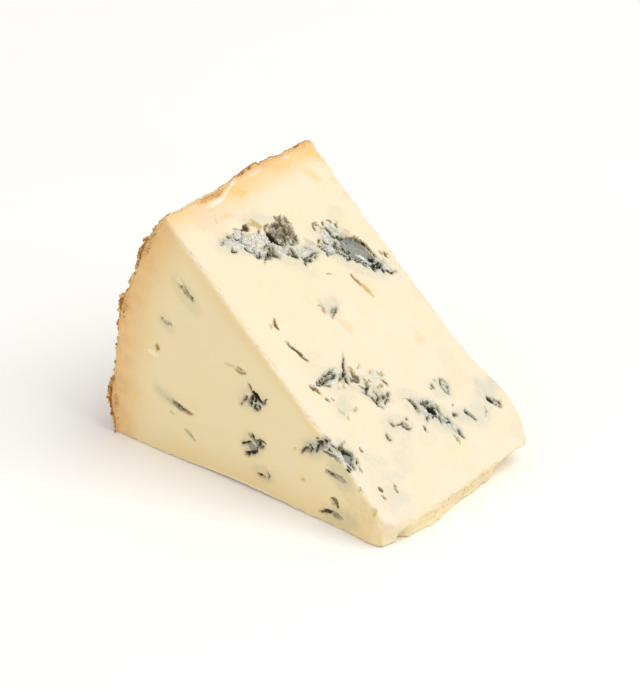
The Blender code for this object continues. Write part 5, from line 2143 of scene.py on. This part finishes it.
@dataclass(frozen=True)
class Studio:
    """A pale floor, soft lights round the wedge and a long lens. Lengths are in metres."""

    turn: float = 40.10
    rise: float = 28.75
    roll: float = -0.56
    distance: float = 0.8
    lens: float = 158.1
    aim_height: float = 0.030
    aim_right: float = -0.000297
    aim_up: float = 0.000170
    floor_radius: float = 4.0
    floor_spokes: int = 48
    floor_rings: int = 15
    sky: Colour = (1.0, 0.985, 0.96, 1.0)
    sky_strength: float = 0.66

    def middle(self) -> Vector:
        """The point in the middle of the wedge's outline, on the floor."""
        low, high = (np.array(corner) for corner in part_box(NODE))
        return Vector(((low[0] + high[0]) / 2, (low[1] + high[1]) / 2, low[2]))

    def floor(self) -> bpy.types.Object:
        """Make the floor: a disc of rings round the wedge, closer together near it.

        Returns:
            The floor.
        """
        spokes, count = self.floor_spokes, self.floor_rings
        turn = math.tau * np.arange(spokes) / spokes
        radii = self.floor_radius * np.linspace(0, 1, count + 1)[1:] ** 2
        spoke = np.stack([np.cos(turn), np.sin(turn), np.zeros(spokes)], axis=1)
        rings = (radii[:, None, None] * spoke).reshape(-1, 3)
        points = np.concatenate([np.zeros((1, 3)), rings]) + np.array(self.middle())
        pairs = [(i, (i + 1) % spokes) for i in range(spokes)]
        faces = [(0, 1 + i, 1 + j) for i, j in pairs]
        for start in range(1, 1 + spokes * (count - 1), spokes):
            faces += [(start + i, start + spokes + i, start + spokes + j, start + j) for i, j in pairs]
        mesh = bpy.data.meshes.new("floor")
        mesh.from_pydata(points.tolist(), [], faces)
        mesh.materials.append(FloorFinish().build())
        return link("floor", mesh)

    def lamp(self, name: str, direction: tuple[float, float, float], size: float, power: float,
             colour: tuple[float, float, float]) -> None:
        """Put a square soft lamp in a direction from the wedge, facing it.

        Args:
            name: Name of the lamp.
            direction: Where it is, seen from the wedge.
            size: Side of the lamp.
            power: Its power in watts.
            colour: Its colour.
        """
        light = bpy.data.lights.new(name, "AREA")
        light.size, light.energy, light.color = size, power, colour
        lamp = bpy.data.objects.new(name, light)
        away = Vector(direction)
        lamp.location = self.middle() + away
        lamp.rotation_euler = away.to_track_quat("Z", "Y").to_euler()
        bpy.context.scene.collection.objects.link(lamp)

    def lights(self) -> None:
        """Light the wedge: a bright even sky, a soft key over the upper cut and a warm fill."""
        world = bpy.data.worlds.new("studio")
        world.use_nodes = True
        background = world.node_tree.nodes["Background"]
        background.inputs["Color"].default_value = self.sky
        background.inputs["Strength"].default_value = self.sky_strength
        bpy.context.scene.world = world
        self.lamp("key", (1.3, 0.4, 2.1), 1.8, 33, (1, 0.99, 0.97))
        self.lamp("fill", (-0.4, -2.4, 1), 1.6, 6.4, (1, 0.9, 0.72))

    def camera(self) -> None:
        """Set up the camera at its angle, slightly rolled, aimed just beside the wedge's middle."""
        turn, rise, roll = (math.radians(angle) for angle in (self.turn, self.rise, self.roll))
        back = Vector((math.sin(turn) * math.cos(rise), -math.cos(turn) * math.cos(rise), math.sin(rise)))
        level = Vector((math.cos(turn), math.sin(turn), 0))
        upright = back.cross(level)
        right = math.cos(roll) * level + math.sin(roll) * upright
        up = math.cos(roll) * upright - math.sin(roll) * level
        aim = self.middle() + Vector((0, 0, self.aim_height)) + right * self.aim_right + up * self.aim_up
        data = bpy.data.cameras.new("camera")
        data.lens = self.lens
        camera = bpy.data.objects.new("camera", data)
        placed = Matrix((right, up, back)).transposed().to_4x4()
        placed.translation = aim + back * self.distance
        camera.matrix_world = placed
        bpy.context.scene.collection.objects.link(camera)
        bpy.context.scene.camera = camera


# ---- Assembly ----


def own(piece: bpy.types.Object, material: bpy.types.Material, stands_in: bool) -> None:
    """Dress a piece and tie it to the frame.

    Args:
        piece: The piece.
        material: Its finish.
        stands_in: Whether it stands for the CAD node.
    """
    piece.data.materials.clear()
    piece.data.materials.append(material)
    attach(piece, BODY)
    if stands_in:
        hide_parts(NODE)
    triangles = sum(len(face.vertices) - 2 for face in piece.data.polygons)
    log.info("%s: %d vertices, %d triangles", piece.name, len(piece.data.vertices), triangles)


def main() -> None:
    """Build the wedge and its studio."""
    logging.basicConfig(level=logging.INFO, force=True)
    noise = Noise3(SHAPE_SEED)
    field = VeinField(FORM, UPPER_VEINS + NEAR_VEINS + hidden_veins(HIDDEN_SEED), Noise3(VEIN_SEED))
    paste = PasteBody(FORM, field, noise)
    crust = RindCrust(FORM, noise)
    paste.dress(paste.build())
    crust.dress(crust.build())
    Crumbs(paste, crust, noise).build()
    studio = Studio()
    studio.floor()
    studio.lights()
    studio.camera()
    bpy.context.scene.view_settings.view_transform = "Standard"


if __name__ == "__main__":
    main()
